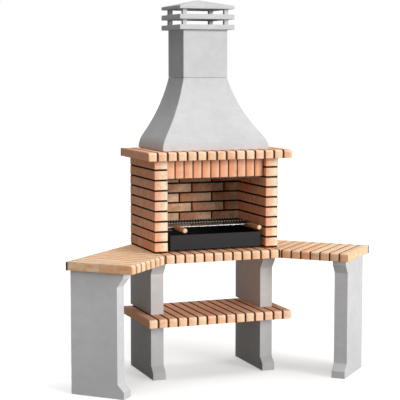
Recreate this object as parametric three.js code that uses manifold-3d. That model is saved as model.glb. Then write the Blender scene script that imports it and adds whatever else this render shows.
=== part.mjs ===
// An outdoor masonry barbecue: a brick firebox under a concrete hood and chimney, on a brick
// worktop with a shelf below it and a side table at 45 degrees on each side.
// Millimetres, +X to the right, +Y to the back, +Z up. The origin is on the ground under the
// middle of the whole object.

import * as THREE from 'three';
import { ConvexGeometry } from 'three/addons/geometries/ConvexGeometry.js';
import { mergeVertices } from 'three/addons/utils/BufferGeometryUtils.js';
import Module from 'manifold-3d';

const wasm = await Module();
wasm.setup();

// Bricks and mortar of the firebox
const brickHeight = 50;
const bedJoint = 10;
const courseCount = 9;
const wallThickness = 80;
const fireboxWidth = 780;
const fireboxDepth = 462;
const mortarRecess = 3;
const corniceBedding = 1;

// Back panel of brick slips between the two side walls
const backPanelThickness = 30;
const pointingDepth = 10;
const backBondPitch = 215;
const backBondStagger = 82;
const shortestSlip = 40;

// Soldier course over the fire opening, and the steel flat that carries it
const soldierCount = 11;
const soldierEndJoint = 5;
const soldierJoint = 6;
const soldierDepth = 80;
const soldierSetBack = 35;
const soldierGroove = 25;
const lintelBarWidth = 50;
const lintelBarThickness = 7;
const lintelBarInWall = 60;

// Slabs made of brick slips on edge, with mortar between them
const slipWidth = 50;
const slipThickness = 50;
const noseRadius = 13;
const slabSpine = 10;
const slabWeb = 15;
const openJointRun = 40;
const tableJoint = 9.5;
const shelfJoint = 10.5;
const worktopSlips = 12;
const shelfSlips = 15;
const corniceSlips = 15;
const worktopFront = -98;
const shelfFront = -73;
const corniceFront = -69;
const slabBehindWall = 5;
const shelfBackInset = 35;

// Reinforcing bars in grooves under the slabs
const barDiameter = 10;
const barEndCover = 40;
const barEndRoom = 5;
const barFrontInset = 95;
const barBackInset = 25;

// Smoke opening in the cornice
const smokeHoleSideRoom = 30;
const smokeHoleBackRoom = 25;
const smokeHoleFrontRoom = 10;
const smokeHoleLining = 10;

// Side tables
const tableAngle = 45;
const tableLength = 425;
const tableDepth = 414;

// Concrete legs
const lowerLegHeight = 335;
const upperLegHeight = 325.5;
const legThickness = 80;
const legFront = 39;
const legBehindSlab = 6;
const legFlare = 39;
const footStraight = 42;
const footSlope = 40;
const headStraight = 32;
const headSlope = 52;
const outerLegInset = 34;
const outerLegThickness = 83;
const outerLegFront = 71;
const outerLegBack = 406;

// Hood, flue and chimney cap
const hoodSideInset = 54;
const hoodTopHalfWidth = 141;
const hoodBaseFront = 11;
const flueDepth = 270;
const hoodHeight = 419;
const hoodCollar = 5;
const hoodToeRadius = 132;
const hoodLean = 35;
const hoodStraight = 58;
const hoodWall = 26;
const flueHeight = 284;
const flueWall = 28;
const capOverhang = 33;
const capSlab = 30;
const capGap = 31;
const capPost = 26;
const capPostProud = 4;
const capRim = 20;
const capRise = 37;
const capFlat = 16;

// Charcoal tray
const traySideRoom = 20;
const trayFront = 22;
const trayBackRoom = 20;
const trayHeight = 90;
const traySheet = 2.5;
const trayHem = 10;
const trayRunner = 8;
const trayRunnerWidth = 20;
const trayRunnerInset = 60;

// Grill of wires on two steel ledges, with wooden handles
const ledgeReach = 40;
const ledgeInWall = 60;
const ledgeThickness = 5;
const ledgeFront = 32;
const ledgeBackRoom = 10;
const ledgeCourse = 2;
const grillOffset = 8;
const grillSideRoom = 22;
const grillFront = 114;
const grillBackRoom = 13;
const railDiameter = 8;
const rodDiameter = 3.6;
const rodPitch = 18;
const rodEnd = 3;
const weldDepth = 1.2;
const handleInset = 54.5;
const handleLength = 160;
const handleDiameter = 28;
const handleChamfer = 3;
const handleNeck = 14;
const handleTang = 32;
const tangClearance = 0.3;

// Fits and working values
const seat = 0.3;
const barGroove = barDiameter + 2 * seat;
const cutOverrun = 10;
const noseSegments = 3;
const leanSegments = 7;
const wireSides = 6;
const barSides = 8;
const handleSides = 20;

// Heights of the layers above the ground
const coursePitch = brickHeight + bedJoint;
const shelfBottom = lowerLegHeight;
const shelfTop = shelfBottom + slipThickness;
const worktopBottom = shelfTop + upperLegHeight;
const worktopTop = worktopBottom + slipThickness;
const wallTop = worktopTop + courseCount * coursePitch;
const corniceBottom = wallTop + corniceBedding;
const corniceTop = corniceBottom + slipThickness;
const hoodShoulder = corniceTop + hoodHeight;
const hoodTop = hoodShoulder + hoodCollar;
const flueTop = hoodTop + flueHeight;
const middleRingBottom = flueTop + capSlab + capGap;
const capTopBottom = middleRingBottom + capSlab + capGap;

// Plan sizes that several pieces share
const innerHalf = fireboxWidth / 2 - wallThickness;
const panelFront = fireboxDepth - backPanelThickness;
const masonryBack = fireboxDepth + slabBehindWall;
const shelfBack = masonryBack - shelfBackInset;
const legBack = masonryBack + legBehindSlab;
const hoodBaseHalfWidth = fireboxWidth / 2 - hoodSideInset;
const hoodTopFront = masonryBack - flueDepth;
const tableTurn = THREE.MathUtils.degToRad(tableAngle);
const worktopEnd = (worktopSlips * (slipWidth + tableJoint)) / 2;
const capBack = masonryBack + capOverhang;
const tableCorner = worktopFront - tableLength * Math.sin(tableTurn);
const planMiddle = (tableCorner + capBack) / 2;

const bedLevel = (course) => worktopTop + course * coursePitch;
const mirrored = (side, a, b) => (side < 0 ? [-b, -a] : [a, b]);

// Solids

function toSolid(geometry) {
  geometry.deleteAttribute('normal');
  geometry.deleteAttribute('uv');
  const merged = mergeVertices(geometry);
  return new wasm.Manifold(new wasm.Mesh({
    numProp: 3,
    vertProperties: new Float32Array(merged.attributes.position.array),
    triVerts: new Uint32Array(merged.index.array),
  }));
}

function toGeometry(solid) {
  const mesh = solid.getMesh();
  const geometry = new THREE.BufferGeometry();
  geometry.setAttribute('position', new THREE.BufferAttribute(mesh.vertProperties, 3));
  geometry.setIndex(new THREE.BufferAttribute(mesh.triVerts, 1));
  return geometry;
}

const joined = (solids) => solids.reduce((whole, part) => whole.add(part));
const cut = (solid, tools) => tools.reduce((rest, tool) => rest.subtract(tool), solid);

// A box between two corners. Its corners are set exactly, so that neighbours meet face to face.
function box([x0, x1], [y0, y1], [z0, z1]) {
  const geometry = new THREE.BoxGeometry();
  const position = geometry.attributes.position;
  for (let i = 0; i < position.count; i += 1) {
    position.setXYZ(
      i,
      position.getX(i) < 0 ? x0 : x1,
      position.getY(i) < 0 ? y0 : y1,
      position.getZ(i) < 0 ? z0 : z1,
    );
  }
  return toSolid(geometry);
}

// An outline drawn across one axis and run along it: YZ along x, XZ along y, or XY along z.
function prism(outline, axis, [from, to]) {
  const shape = outline instanceof THREE.Shape
    ? outline
    : new THREE.Shape(outline.map(([a, b]) => new THREE.Vector2(a, b)));
  const geometry = new THREE.ExtrudeGeometry(shape, {
    depth: 1,
    bevelEnabled: false,
    curveSegments: noseSegments,
  });
  const position = geometry.attributes.position;
  for (let i = 0; i < position.count; i += 1) {
    const [a, b, near] = [position.getX(i), position.getY(i), position.getZ(i) < 1 / 2];
    if (axis === 'x') position.setXYZ(i, near ? from : to, a, b);
    if (axis === 'y') position.setXYZ(i, a, near ? to : from, b);
    if (axis === 'z') position.setXYZ(i, a, b, near ? from : to);
  }
  return toSolid(geometry);
}

// A round bar along x or y, through the point given by its two other coordinates.
function bar(axis, [from, to], [across, height], diameter, sides) {
  const geometry = new THREE.CylinderGeometry(diameter / 2, diameter / 2, 1, sides);
  const position = geometry.attributes.position;
  for (let i = 0; i < position.count; i += 1) {
    const [a, along, c] = [position.getX(i), position.getY(i) < 0 ? from : to, position.getZ(i)];
    if (axis === 'x') position.setXYZ(i, along, across + c, height + a);
    if (axis === 'y') position.setXYZ(i, across + a, along, height + c);
  }
  return toSolid(geometry);
}

// Finishes

const finish = (color, roughness, metalness) =>
  new THREE.MeshStandardMaterial({ color, roughness, metalness, flatShading: true });

const finishes = {
  brick: () => finish(0xe3a57c, 0.85, 0),
  mortar: () => finish(0x2c2620, 0.95, 0),
  concrete: () => finish(0xcfcecc, 0.9, 0),
  blackSteel: () => finish(0x2d2e30, 0.5, 0.6),
  bareSteel: () => finish(0x5b5751, 0.55, 0.8),
  chrome: () => finish(0xe6e8ea, 0.15, 1),
  wood: () => finish(0xb57a50, 0.6, 0),
};

const barbecue = new THREE.Group();
const masonry = new THREE.Group();
masonry.position.set(0, -planMiddle, 0);
barbecue.add(masonry);

function addPiece(name, solid, finishName, parent = masonry) {
  const piece = new THREE.Mesh(toGeometry(solid), finishes[finishName]());
  piece.name = name;
  parent.add(piece);
}

// Slabs of brick slips

// Side outline of a slip or of the mortar beside it, with the rounded top front edge.
function slabOutline({ front, back, bottom, top }, recess, underside) {
  const radius = noseRadius - recess;
  const outline = new THREE.Shape();
  outline.moveTo(back, bottom + underside);
  if (underside > 0) {
    outline.lineTo(front + openJointRun - seat, bottom + underside);
    outline.lineTo(front + openJointRun - seat, bottom);
  }
  outline.lineTo(front + recess, bottom);
  outline.lineTo(front + recess, top - noseRadius);
  outline.absarc(front + noseRadius, top - noseRadius, radius, Math.PI, Math.PI / 2, true);
  outline.lineTo(back, top - recess);
  outline.closePath();
  return outline;
}

// The thin layer low in the slab that holds its slips together, clear of the open front joints.
const slabWebbing = ({ front, back, bottom }, ends) =>
  box(ends, [front + openJointRun, back], [bottom, bottom + slabWeb]);

const barPlaces = ({ front, back }) => [front + barFrontInset, back - barBackInset];

const barGrooves = (slab, [from, to]) => barPlaces(slab).map((y) => box(
  [from + barEndCover - barEndRoom, to - barEndCover + barEndRoom],
  [y - barGroove / 2, y + barGroove / 2],
  [slab.bottom - cutOverrun, slab.bottom + barGroove],
));

// Slips, mortar between and behind them, for a slab whose slips start at the x places given.
function buildSlab(slab, slipStarts, joint, side = 1) {
  const first = Math.min(...slipStarts);
  const last = Math.max(...slipStarts) + slipWidth;
  const slipBack = slab.back - slabSpine - seat;
  const slipOutline = slabOutline({ ...slab, back: slipBack }, 0, 0);
  const mortarOutline = slabOutline(slab, mortarRecess, slabWeb + seat);
  const slips = slipStarts.map((x) => prism(slipOutline, 'x', mirrored(side, x, x + slipWidth)));
  const webbing = slabWebbing({ ...slab, back: slipBack }, mirrored(side, first, last));
  const grooves = barGrooves(slab, mirrored(side, first, last));
  const jointStarts = slipStarts.filter((x) => x > first).map((x) => x - joint);
  const fingers = jointStarts.map((x) =>
    prism(mortarOutline, 'x', mirrored(side, x + seat, x + joint - seat)));
  const spine = box(
    mirrored(side, first, last),
    [slab.back - slabSpine, slab.back],
    [slab.bottom, slab.top - mortarRecess],
  );
  return { slips: cut(joined([...slips, webbing]), grooves), mortar: joined([spine, ...fingers]) };
}

function centredSlips(count, joint) {
  const pitch = slipWidth + joint;
  const start = -(count * pitch - joint) / 2;
  return Array.from({ length: count }, (_, i) => start + i * pitch);
}

function addSlabBars(prefix, slab, [from, to], parent = masonry) {
  const height = slab.bottom + barDiameter / 2 + seat;
  const names = ['front', 'back'];
  barPlaces(slab).forEach((y, i) => {
    const solid = bar('x', [from + barEndCover, to - barEndCover], [y, height], barDiameter, barSides);
    addPiece(`${prefix}_${names[i]}_bar`, solid, 'bareSteel', parent);
  });
}

function addWorktop() {
  const slab = { front: worktopFront, back: masonryBack, bottom: worktopBottom, top: worktopTop };
  const starts = centredSlips(worktopSlips, tableJoint);
  const { slips, mortar } = buildSlab(slab, starts, tableJoint);
  const endOutline = slabOutline(slab, mortarRecess, 0);
  const edge = worktopEnd - tableJoint / 2;
  const endJoints = [-1, 1].map((side) =>
    prism(endOutline, 'x', mirrored(side, edge + seat, edge + tableJoint)));
  const endLinks = [-1, 1].map((side) => box(
    mirrored(side, edge - seat, edge + tableJoint),
    [slab.back - slabSpine, slab.back],
    [slab.bottom, slab.top - mortarRecess],
  ));
  addPiece('worktop_slips', slips, 'brick');
  addPiece('worktop_mortar', joined([mortar, ...endJoints, ...endLinks]), 'mortar');
  addSlabBars('worktop', slab, [-edge, edge]);
}

function addShelf() {
  const slab = { front: shelfFront, back: shelfBack, bottom: shelfBottom, top: shelfTop };
  const starts = centredSlips(shelfSlips, shelfJoint);
  const { slips, mortar } = buildSlab(slab, starts, shelfJoint);
  addPiece('shelf_slips', slips, 'brick');
  addPiece('shelf_mortar', mortar, 'mortar');
  addSlabBars('shelf', slab, [starts[0], -starts[0]]);
}

// The cornice has a smoke opening, lined with mortar that also ties the short front joints in.
function addCornice() {
  const slab = { front: corniceFront, back: masonryBack, bottom: corniceBottom, top: corniceTop };
  const starts = centredSlips(corniceSlips, shelfJoint);
  const { slips, mortar } = buildSlab(slab, starts, shelfJoint);
  const half = innerHalf - smokeHoleSideRoom;
  const front = soldierSetBack + soldierDepth + smokeHoleFrontRoom;
  const back = panelFront - smokeHoleBackRoom;
  const rimmedHole = (margin, level) =>
    box([-half - margin, half + margin], [front - margin, back + margin], level);
  const through = [corniceBottom - cutOverrun, corniceTop + cutOverrun];
  const liningLevel = [corniceBottom, corniceTop - mortarRecess];
  const holed = slips.subtract(rimmedHole(smokeHoleLining + seat, through));
  const lined = mortar.add(rimmedHole(smokeHoleLining, liningLevel)).subtract(rimmedHole(0, through));
  addPiece('cornice_slips', holed, 'brick');
  addPiece('cornice_mortar', lined, 'mortar');
  addSlabBars('cornice', slab, [starts[0], -starts[0]]);
}

// Side tables and outer legs. In their own group x runs outwards along the front edge, away from
// the worktop on the right and mirrored on the left, and y runs across the table to its back edge.

function tableGroup(side) {
  const group = new THREE.Group();
  group.position.set(side * worktopEnd, worktopFront, 0);
  group.rotation.z = -side * tableTurn;
  masonry.add(group);
  return group;
}

// Everything on the worktop's side of the slanted junction, kept the given distance past it.
function junctionCut(side, margin) {
  const [c, s] = [Math.cos(tableTurn), Math.sin(tableTurn)];
  const reach = tableLength + tableDepth;
  const start = [margin * c + reach * s, margin * s - reach * c];
  const end = [margin * c - reach * s, margin * s + reach * c];
  const inwards = ([x, y]) => [x - reach * c, y - reach * s];
  return prism(
    [start, end, inwards(end), inwards(start)].map(([x, y]) => [side * x, y]),
    'z',
    [worktopBottom - cutOverrun, worktopTop + cutOverrun],
  );
}

function addSideTable(side, label) {
  const slab = { front: 0, back: tableDepth, bottom: worktopBottom, top: worktopTop };
  const margin = tableJoint / 2 + seat;
  const innermost = (margin - tableDepth * Math.sin(tableTurn)) / Math.cos(tableTurn);
  const starts = [];
  for (let x = tableLength - slipWidth; x + slipWidth > innermost; x -= slipWidth + tableJoint) {
    starts.push(x);
  }
  const { slips, mortar } = buildSlab(slab, starts, tableJoint, side);
  const junction = junctionCut(side, margin);
  const group = tableGroup(side);
  addPiece(`${label}_table_slips`, slips.subtract(junction), 'brick', group);
  addPiece(`${label}_table_mortar`, mortar.subtract(junction), 'mortar', group);
  barPlaces(slab).forEach((y, i) => {
    const from = (margin - y * Math.sin(tableTurn)) / Math.cos(tableTurn) + barEndCover + barDiameter;
    const ends = mirrored(side, from, tableLength - barEndCover);
    const height = slab.bottom + barDiameter / 2 + seat;
    const solid = bar('x', ends, [y, height], barDiameter, barSides);
    addPiece(`${label}_table_${['front', 'back'][i]}_bar`, solid, 'bareSteel', group);
  });
  addOuterLeg(side, label, group);
}

// Legs

// Side outline of a leg that stands out at the front of its foot, its head or both.
function legOutline(front, back, bottom, top, { foot, head }) {
  const shaft = front + legFlare;
  const lower = foot
    ? [[front, bottom], [front, bottom + footStraight], [shaft, bottom + footStraight + footSlope]]
    : [[shaft, bottom]];
  const upper = head
    ? [[shaft, top - headStraight - headSlope], [front, top - headStraight], [front, top]]
    : [[shaft, top]];
  return [[back, bottom], ...lower, ...upper, [back, top]].reverse();
}

function addOuterLeg(side, label, group) {
  const outline = legOutline(outerLegFront, outerLegBack, 0, worktopBottom, { foot: true, head: true });
  const outer = tableLength - outerLegInset;
  const solid = prism(outline, 'x', mirrored(side, outer - outerLegThickness, outer));
  addPiece(`${label}_outer_leg`, solid, 'concrete', group);
}

function addCentreLegs(side, label) {
  const lower = legOutline(legFront, legBack, 0, shelfBottom, { foot: true, head: false });
  const upper = legOutline(legFront, legBack, shelfTop, worktopBottom, { foot: false, head: true });
  const outer = fireboxWidth / 2;
  const span = mirrored(side, outer - legThickness, outer);
  addPiece(`${label}_lower_leg`, prism(lower, 'x', span), 'concrete');
  addPiece(`${label}_upper_leg`, prism(upper, 'x', span), 'concrete');
}

// Firebox

function addSideWalls() {
  [[-1, 'left'], [1, 'right']].forEach(([side, label]) => {
    for (let course = 0; course < courseCount; course += 1) {
      const bottom = bedLevel(course) + bedJoint;
      const solid = box(
        mirrored(side, innerHalf, innerHalf + wallThickness),
        [0, fireboxDepth],
        [bottom, bottom + brickHeight],
      );
      addPiece(`${label}_wall_course_${course + 1}`, solid, 'brick');
    }
  });
}

// Middles of the upright joints in one course of the back panel. Every second course is staggered.
function backJoints(course) {
  const shift = course % 2 === 0 ? -backBondStagger : 0;
  const most = Math.ceil((innerHalf + backBondPitch) / backBondPitch);
  return Array.from({ length: 2 * most + 1 }, (_, i) => shift + (i - most) * backBondPitch)
    .filter((x) => Math.abs(x) < innerHalf - shortestSlip);
}

const courses = Array.from({ length: courseCount }, (_, i) => i);

// The grooves of the panel's joints, or with a margin the mortar in them, on one of its faces.
function panelStrips([near, far], margin, endReach) {
  return courses.flatMap((course) => {
    const bed = bedLevel(course);
    const level = box(
      [-innerHalf - endReach, innerHalf + endReach],
      [near, far],
      [bed + margin, bed + bedJoint - margin],
    );
    const uprights = backJoints(course).map((x) => box(
      [x - bedJoint / 2 + margin, x + bedJoint / 2 - margin],
      [near, far],
      [bed + bedJoint - margin, bed + coursePitch + margin],
    ));
    return [level, ...uprights];
  });
}

function addBackPanel() {
  const panel = box([-innerHalf, innerHalf], [panelFront, fireboxDepth], [worktopTop, wallTop]);
  const front = panelStrips([panelFront - cutOverrun, panelFront + pointingDepth], 0, cutOverrun);
  const back = panelStrips([fireboxDepth - pointingDepth, fireboxDepth + cutOverrun], 0, cutOverrun);
  addPiece('back_panel_bricks', cut(panel, [...front, ...back]), 'brick');
}

const lintelHalf = innerHalf - soldierEndJoint;
const soldierPitch = (2 * lintelHalf + soldierJoint) / soldierCount;
const lintelBack = soldierSetBack + soldierDepth;
const lintelBed = bedLevel(courseCount - 2);
const lintelBottom = lintelBed + bedJoint;
const soldierJoints = Array.from({ length: soldierCount - 1 }, (_, i) =>
  -lintelHalf + (i + 1) * soldierPitch - soldierJoint / 2);

function addLintel() {
  const course = box([-lintelHalf, lintelHalf], [soldierSetBack, lintelBack], [lintelBottom, wallTop]);
  const grooves = soldierJoints.flatMap((x) => [
    [soldierSetBack - cutOverrun, soldierSetBack + soldierGroove],
    [lintelBack - soldierGroove, lintelBack + cutOverrun],
  ].map((depth) => box(
    [x - soldierJoint / 2, x + soldierJoint / 2],
    depth,
    [lintelBottom - cutOverrun, wallTop + cutOverrun],
  )));
  addPiece('lintel_soldiers', cut(course, grooves), 'brick');
}

const lintelBarFront = soldierSetBack + (soldierDepth - lintelBarWidth) / 2;
const lintelBarReach = innerHalf + lintelBarInWall;

function lintelBarSolid(margin) {
  return box(
    [-lintelBarReach - margin, lintelBarReach + margin],
    [lintelBarFront - margin, lintelBarFront + lintelBarWidth + margin],
    [lintelBottom - lintelBarThickness - margin, lintelBottom],
  );
}

const ledgeTop = bedLevel(ledgeCourse) + bedJoint;

function ledgeSolid(side, margin) {
  return box(
    mirrored(side, innerHalf - ledgeReach, innerHalf + ledgeInWall + margin),
    [ledgeFront - margin, panelFront - ledgeBackRoom + margin],
    [ledgeTop - ledgeThickness - margin, ledgeTop],
  );
}

function addSteelwork() {
  addPiece('lintel_bar', lintelBarSolid(0), 'bareSteel');
  addPiece('left_grill_ledge', ledgeSolid(-1, 0), 'bareSteel');
  addPiece('right_grill_ledge', ledgeSolid(1, 0), 'bareSteel');
}

// Beds between the courses of the side walls, from inside face to outside face less the recess.
function wallBeds() {
  const across = [innerHalf + mortarRecess, innerHalf + wallThickness - mortarRecess];
  const along = [mortarRecess, fireboxDepth - mortarRecess];
  return [-1, 1].flatMap((side) => courses.map((course) =>
    box(mirrored(side, ...across), along, [bedLevel(course), bedLevel(course) + bedJoint])));
}

// The thin bed that the cornice lies on: over both walls, the back panel and the soldier course.
function corniceBed() {
  const outer = innerHalf + wallThickness - mortarRecess;
  const level = [wallTop, corniceBottom];
  const back = fireboxDepth - mortarRecess;
  const walls = [-1, 1].map((side) =>
    box(mirrored(side, innerHalf + mortarRecess, outer), [mortarRecess, back], level));
  const panel = box([-outer, outer], [panelFront + mortarRecess, back], level);
  const soldiers = box(
    [-outer, outer],
    [soldierSetBack + mortarRecess, lintelBack - mortarRecess],
    level,
  );
  return [...walls, panel, soldiers];
}

function soldierMortar() {
  const depths = [
    [soldierSetBack + mortarRecess, soldierSetBack + soldierGroove - seat],
    [lintelBack - soldierGroove + seat, lintelBack - mortarRecess],
  ];
  const between = soldierJoints.flatMap((x) => depths.map((depth) => box(
    [x - soldierJoint / 2 + seat, x + soldierJoint / 2 - seat],
    depth,
    [lintelBottom, corniceBottom],
  )));
  const ends = [-1, 1].map((side) => box(
    mirrored(side, lintelHalf + seat, innerHalf - seat),
    [soldierSetBack + mortarRecess, lintelBack - mortarRecess],
    [lintelBottom, corniceBottom],
  ));
  return [...between, ...ends];
}

function addFireboxMortar() {
  const link = wallThickness / 2;
  const front = [panelFront + mortarRecess, panelFront + pointingDepth - seat];
  const back = [fireboxDepth - pointingDepth + seat, fireboxDepth - mortarRecess];
  const whole = joined([
    ...wallBeds(),
    ...panelStrips(front, seat, link),
    ...panelStrips(back, seat, link),
    ...corniceBed(),
    ...soldierMortar(),
  ]);
  const pockets = [lintelBarSolid(seat), ledgeSolid(-1, seat), ledgeSolid(1, seat)];
  addPiece('firebox_mortar', cut(whole, pockets), 'mortar');
}

// Hood, flue and cap

// The hood's outline from its base to its shoulder: an upright toe that leans in along an arc, a
// straight run, and a second arc that turns back up. Each point is the share of the way out from
// the flue to the base, and the height over the base.
function hoodSections() {
  const lean = THREE.MathUtils.degToRad(hoodLean);
  const reach = hoodBaseHalfWidth - hoodTopHalfWidth;
  const steps = Array.from({ length: leanSegments + 1 }, (_, i) => i / leanSegments);
  const toe = steps.map((t) => [
    hoodToeRadius * (1 - Math.cos(lean * t)),
    hoodToeRadius * Math.sin(lean * t),
  ]);
  const [toeIn, toeUp] = toe.at(-1);
  const kneeIn = toeIn + hoodStraight * Math.sin(lean);
  const kneeUp = toeUp + hoodStraight * Math.cos(lean);
  const chord = Math.atan2(reach - kneeIn, hoodHeight - kneeUp);
  const turn = lean - chord;
  const radius = Math.hypot(reach - kneeIn, hoodHeight - kneeUp) / (2 * Math.sin(turn));
  const neck = steps.map((t) => {
    const angle = lean - 2 * turn * t;
    return [
      kneeIn + radius * (Math.cos(angle) - Math.cos(lean)),
      kneeUp + radius * (Math.sin(lean) - Math.sin(angle)),
    ];
  });
  return [...toe, ...neck].map(([inwards, up]) => [1 - inwards / reach, up]);
}

// The room inside the hood's outer faces, or inside its walls when a wall thickness is taken off.
function hoodBody(wall, bottom, top) {
  const half = (share) => hoodTopHalfWidth + (hoodBaseHalfWidth - hoodTopHalfWidth) * share - wall;
  const front = (share) => hoodTopFront + (hoodBaseFront - hoodTopFront) * share + wall;
  const sections = hoodSections().map(([share, up]) => [share, corniceTop + up]);
  const levels = [[1, bottom], ...sections.slice(1, -1), [0, hoodShoulder], [0, top]];
  const rightSide = levels.map(([share, z]) => [half(share), z]);
  const leftSide = levels.map(([share, z]) => [-half(share), z]).reverse();
  const frontSide = levels.map(([share, z]) => [front(share), z]).reverse();
  const back = masonryBack - wall;
  const faceOn = prism(
    [...rightSide, ...leftSide],
    'y',
    [hoodBaseFront - cutOverrun, masonryBack + cutOverrun],
  );
  const sideOn = prism(
    [[back, bottom], [back, top], ...frontSide],
    'x',
    [-hoodBaseHalfWidth - cutOverrun, hoodBaseHalfWidth + cutOverrun],
  );
  return faceOn.intersect(sideOn.intersect(box(
    [-hoodBaseHalfWidth - cutOverrun, hoodBaseHalfWidth + cutOverrun],
    [hoodBaseFront + wall, back],
    [bottom, top],
  )));
}

function addHood() {
  const inside = hoodBody(hoodWall, corniceTop - cutOverrun, hoodTop + cutOverrun);
  addPiece('hood', hoodBody(0, corniceTop, hoodTop).subtract(inside), 'concrete');
}

// The plan of the flue, grown by a margin on every side.
const fluePlan = (margin) => [
  [-hoodTopHalfWidth - margin, hoodTopHalfWidth + margin],
  [hoodTopFront - margin, masonryBack + margin],
];

function flueHole([bottom, top]) {
  return box(...fluePlan(-flueWall), [bottom - cutOverrun, top + cutOverrun]);
}

function addFlue() {
  const level = [hoodTop, flueTop];
  addPiece('flue', box(...fluePlan(0), level).subtract(flueHole(level)), 'concrete');
}

// One ring of the cap, with the four posts that carry the next layer.
function capRing(bottom) {
  const top = bottom + capSlab;
  const ring = box(...fluePlan(capOverhang), [bottom, top]).subtract(flueHole([bottom, top]));
  const [[left, right], [front, back]] = fluePlan(capPostProud);
  const posts = [[left, left + capPost], [right - capPost, right]].flatMap((across) =>
    [[front, front + capPost], [back - capPost, back]].map((along) =>
      box(across, along, [top - capSlab / 2, top + capGap])));
  return joined([ring, ...posts]);
}

function addCap() {
  addPiece('cap_lower_ring', capRing(flueTop), 'concrete');
  addPiece('cap_middle_ring', capRing(middleRingBottom), 'concrete');
  const [across, along] = fluePlan(capOverhang);
  const middle = (along[0] + along[1]) / 2;
  const corners = (xs, ys, z) => xs.flatMap((x) => ys.map((y) => new THREE.Vector3(x, y, z)));
  const flat = capFlat / 2;
  const points = [
    ...corners(across, along, capTopBottom),
    ...corners(across, along, capTopBottom + capRim),
    ...corners([-flat, flat], [middle - flat, middle + flat], capTopBottom + capRim + capRise),
  ];
  addPiece('cap_pyramid', toSolid(new ConvexGeometry(points)), 'concrete');
}

// Charcoal tray: a folded steel box with its rim hemmed inwards, on two runners.
function addTray() {
  const half = innerHalf - traySideRoom;
  const trayBack = panelFront - trayBackRoom;
  const floor = worktopTop + seat + trayRunner;
  const top = floor + trayHeight;
  const shell = box([-half, half], [trayFront, trayBack], [floor, top]);
  const inside = (margin, level) => box(
    [-half + margin, half - margin],
    [trayFront + margin, trayBack - margin],
    level,
  );
  const room = inside(traySheet, [floor + traySheet, top - traySheet]);
  const mouth = inside(trayHem, [floor + traySheet, top + cutOverrun]);
  const runners = [-1, 1].map((side) => box(
    mirrored(side, half - trayRunnerInset - trayRunnerWidth, half - trayRunnerInset),
    [trayFront + trayRunnerWidth, trayBack - trayRunnerWidth],
    [worktopTop + seat, floor + traySheet / 2],
  ));
  addPiece('charcoal_tray', joined([cut(shell, [room, mouth]), ...runners]), 'blackSteel');
}

// Grill

const grillHalf = innerHalf - grillSideRoom;
const grillBack = panelFront - grillBackRoom;
const railHeight = ledgeTop + seat + railDiameter / 2;
const rodHeight = railHeight + railDiameter / 2 + rodDiameter / 2 - weldDepth;

function addGrill() {
  const sides = [grillOffset - grillHalf, grillOffset + grillHalf];
  const rail = (axis, span, place) => bar(axis, span, place, railDiameter, wireSides);
  const overlap = railDiameter / 4;
  const across = [grillFront, grillBack].map((y) =>
    rail('x', [sides[0] - overlap, sides[1] + overlap], [y, railHeight]));
  const along = sides.map((x) =>
    rail('y', [grillFront - overlap, grillBack + overlap], [x, railHeight]));
  const middle = bar(
    'x',
    [sides[0], sides[1]],
    [(grillFront + grillBack) / 2, railHeight],
    railDiameter,
    wireSides,
  );
  const rodCount = Math.floor((2 * grillHalf - rodPitch) / rodPitch);
  const rods = Array.from({ length: rodCount }, (_, i) => bar(
    'y',
    [grillFront - rodEnd, grillBack + rodEnd],
    [grillOffset + (i - (rodCount - 1) / 2) * rodPitch, rodHeight],
    rodDiameter,
    wireSides,
  ));
  const tangs = handlePlaces().map((x) =>
    rail('y', [grillFront - railDiameter / 2 - handleNeck - handleTang, grillFront], [x, railHeight]));
  addPiece('grill', joined([...across, middle, ...along, ...rods, ...tangs]), 'chrome');
}

const handlePlaces = () =>
  [-1, 1].map((side) => grillOffset + side * (grillHalf - handleInset));

// A turned wooden handle, bored at its back end for the tang.
function addHandles() {
  const back = grillFront - railDiameter / 2 - handleNeck;
  const front = back - handleLength;
  const [radius, bore] = [handleDiameter / 2, railDiameter / 2 + tangClearance];
  const outline = [
    [0, front],
    [radius - handleChamfer, front],
    [radius, front + handleChamfer],
    [radius, back - handleChamfer],
    [radius - handleChamfer, back],
    [bore, back],
    [bore, back - handleTang - tangClearance],
    [0, back - handleTang - tangClearance],
  ].map(([r, y]) => new THREE.Vector2(r, y));
  handlePlaces().forEach((x, i) => {
    const turned = new THREE.LatheGeometry(outline, handleSides);
    turned.translate(x, 0, railHeight);
    addPiece(`${['left', 'right'][i]}_handle`, toSolid(turned), 'wood');
  });
}

addCentreLegs(-1, 'left');
addCentreLegs(1, 'right');
addShelf();
addWorktop();
addSideTable(-1, 'left');
addSideTable(1, 'right');
addSideWalls();
addBackPanel();
addLintel();
addSteelwork();
addFireboxMortar();
addCornice();
addHood();
addFlue();
addCap();
addTray();
addGrill();
addHandles();

export default barbecue;
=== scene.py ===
"""Outdoor masonry barbecue: the dressed model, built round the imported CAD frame.

A brick firebox stands on a brick worktop with a shelf below and a side table at 45 degrees on
each side, on flared concrete legs. A concrete hood, a flue and a slatted cap rise above it, and a
charcoal tray and a grill with wooden handles slide out of the opening. All sizes are in metres.
"""

import sys
import logging
import math
import random
from dataclasses import dataclass, replace
from enum import Enum
from typing import Any, Mapping, Sequence, Union

import bmesh
import bpy
from mathutils import Matrix, Vector, noise


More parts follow.
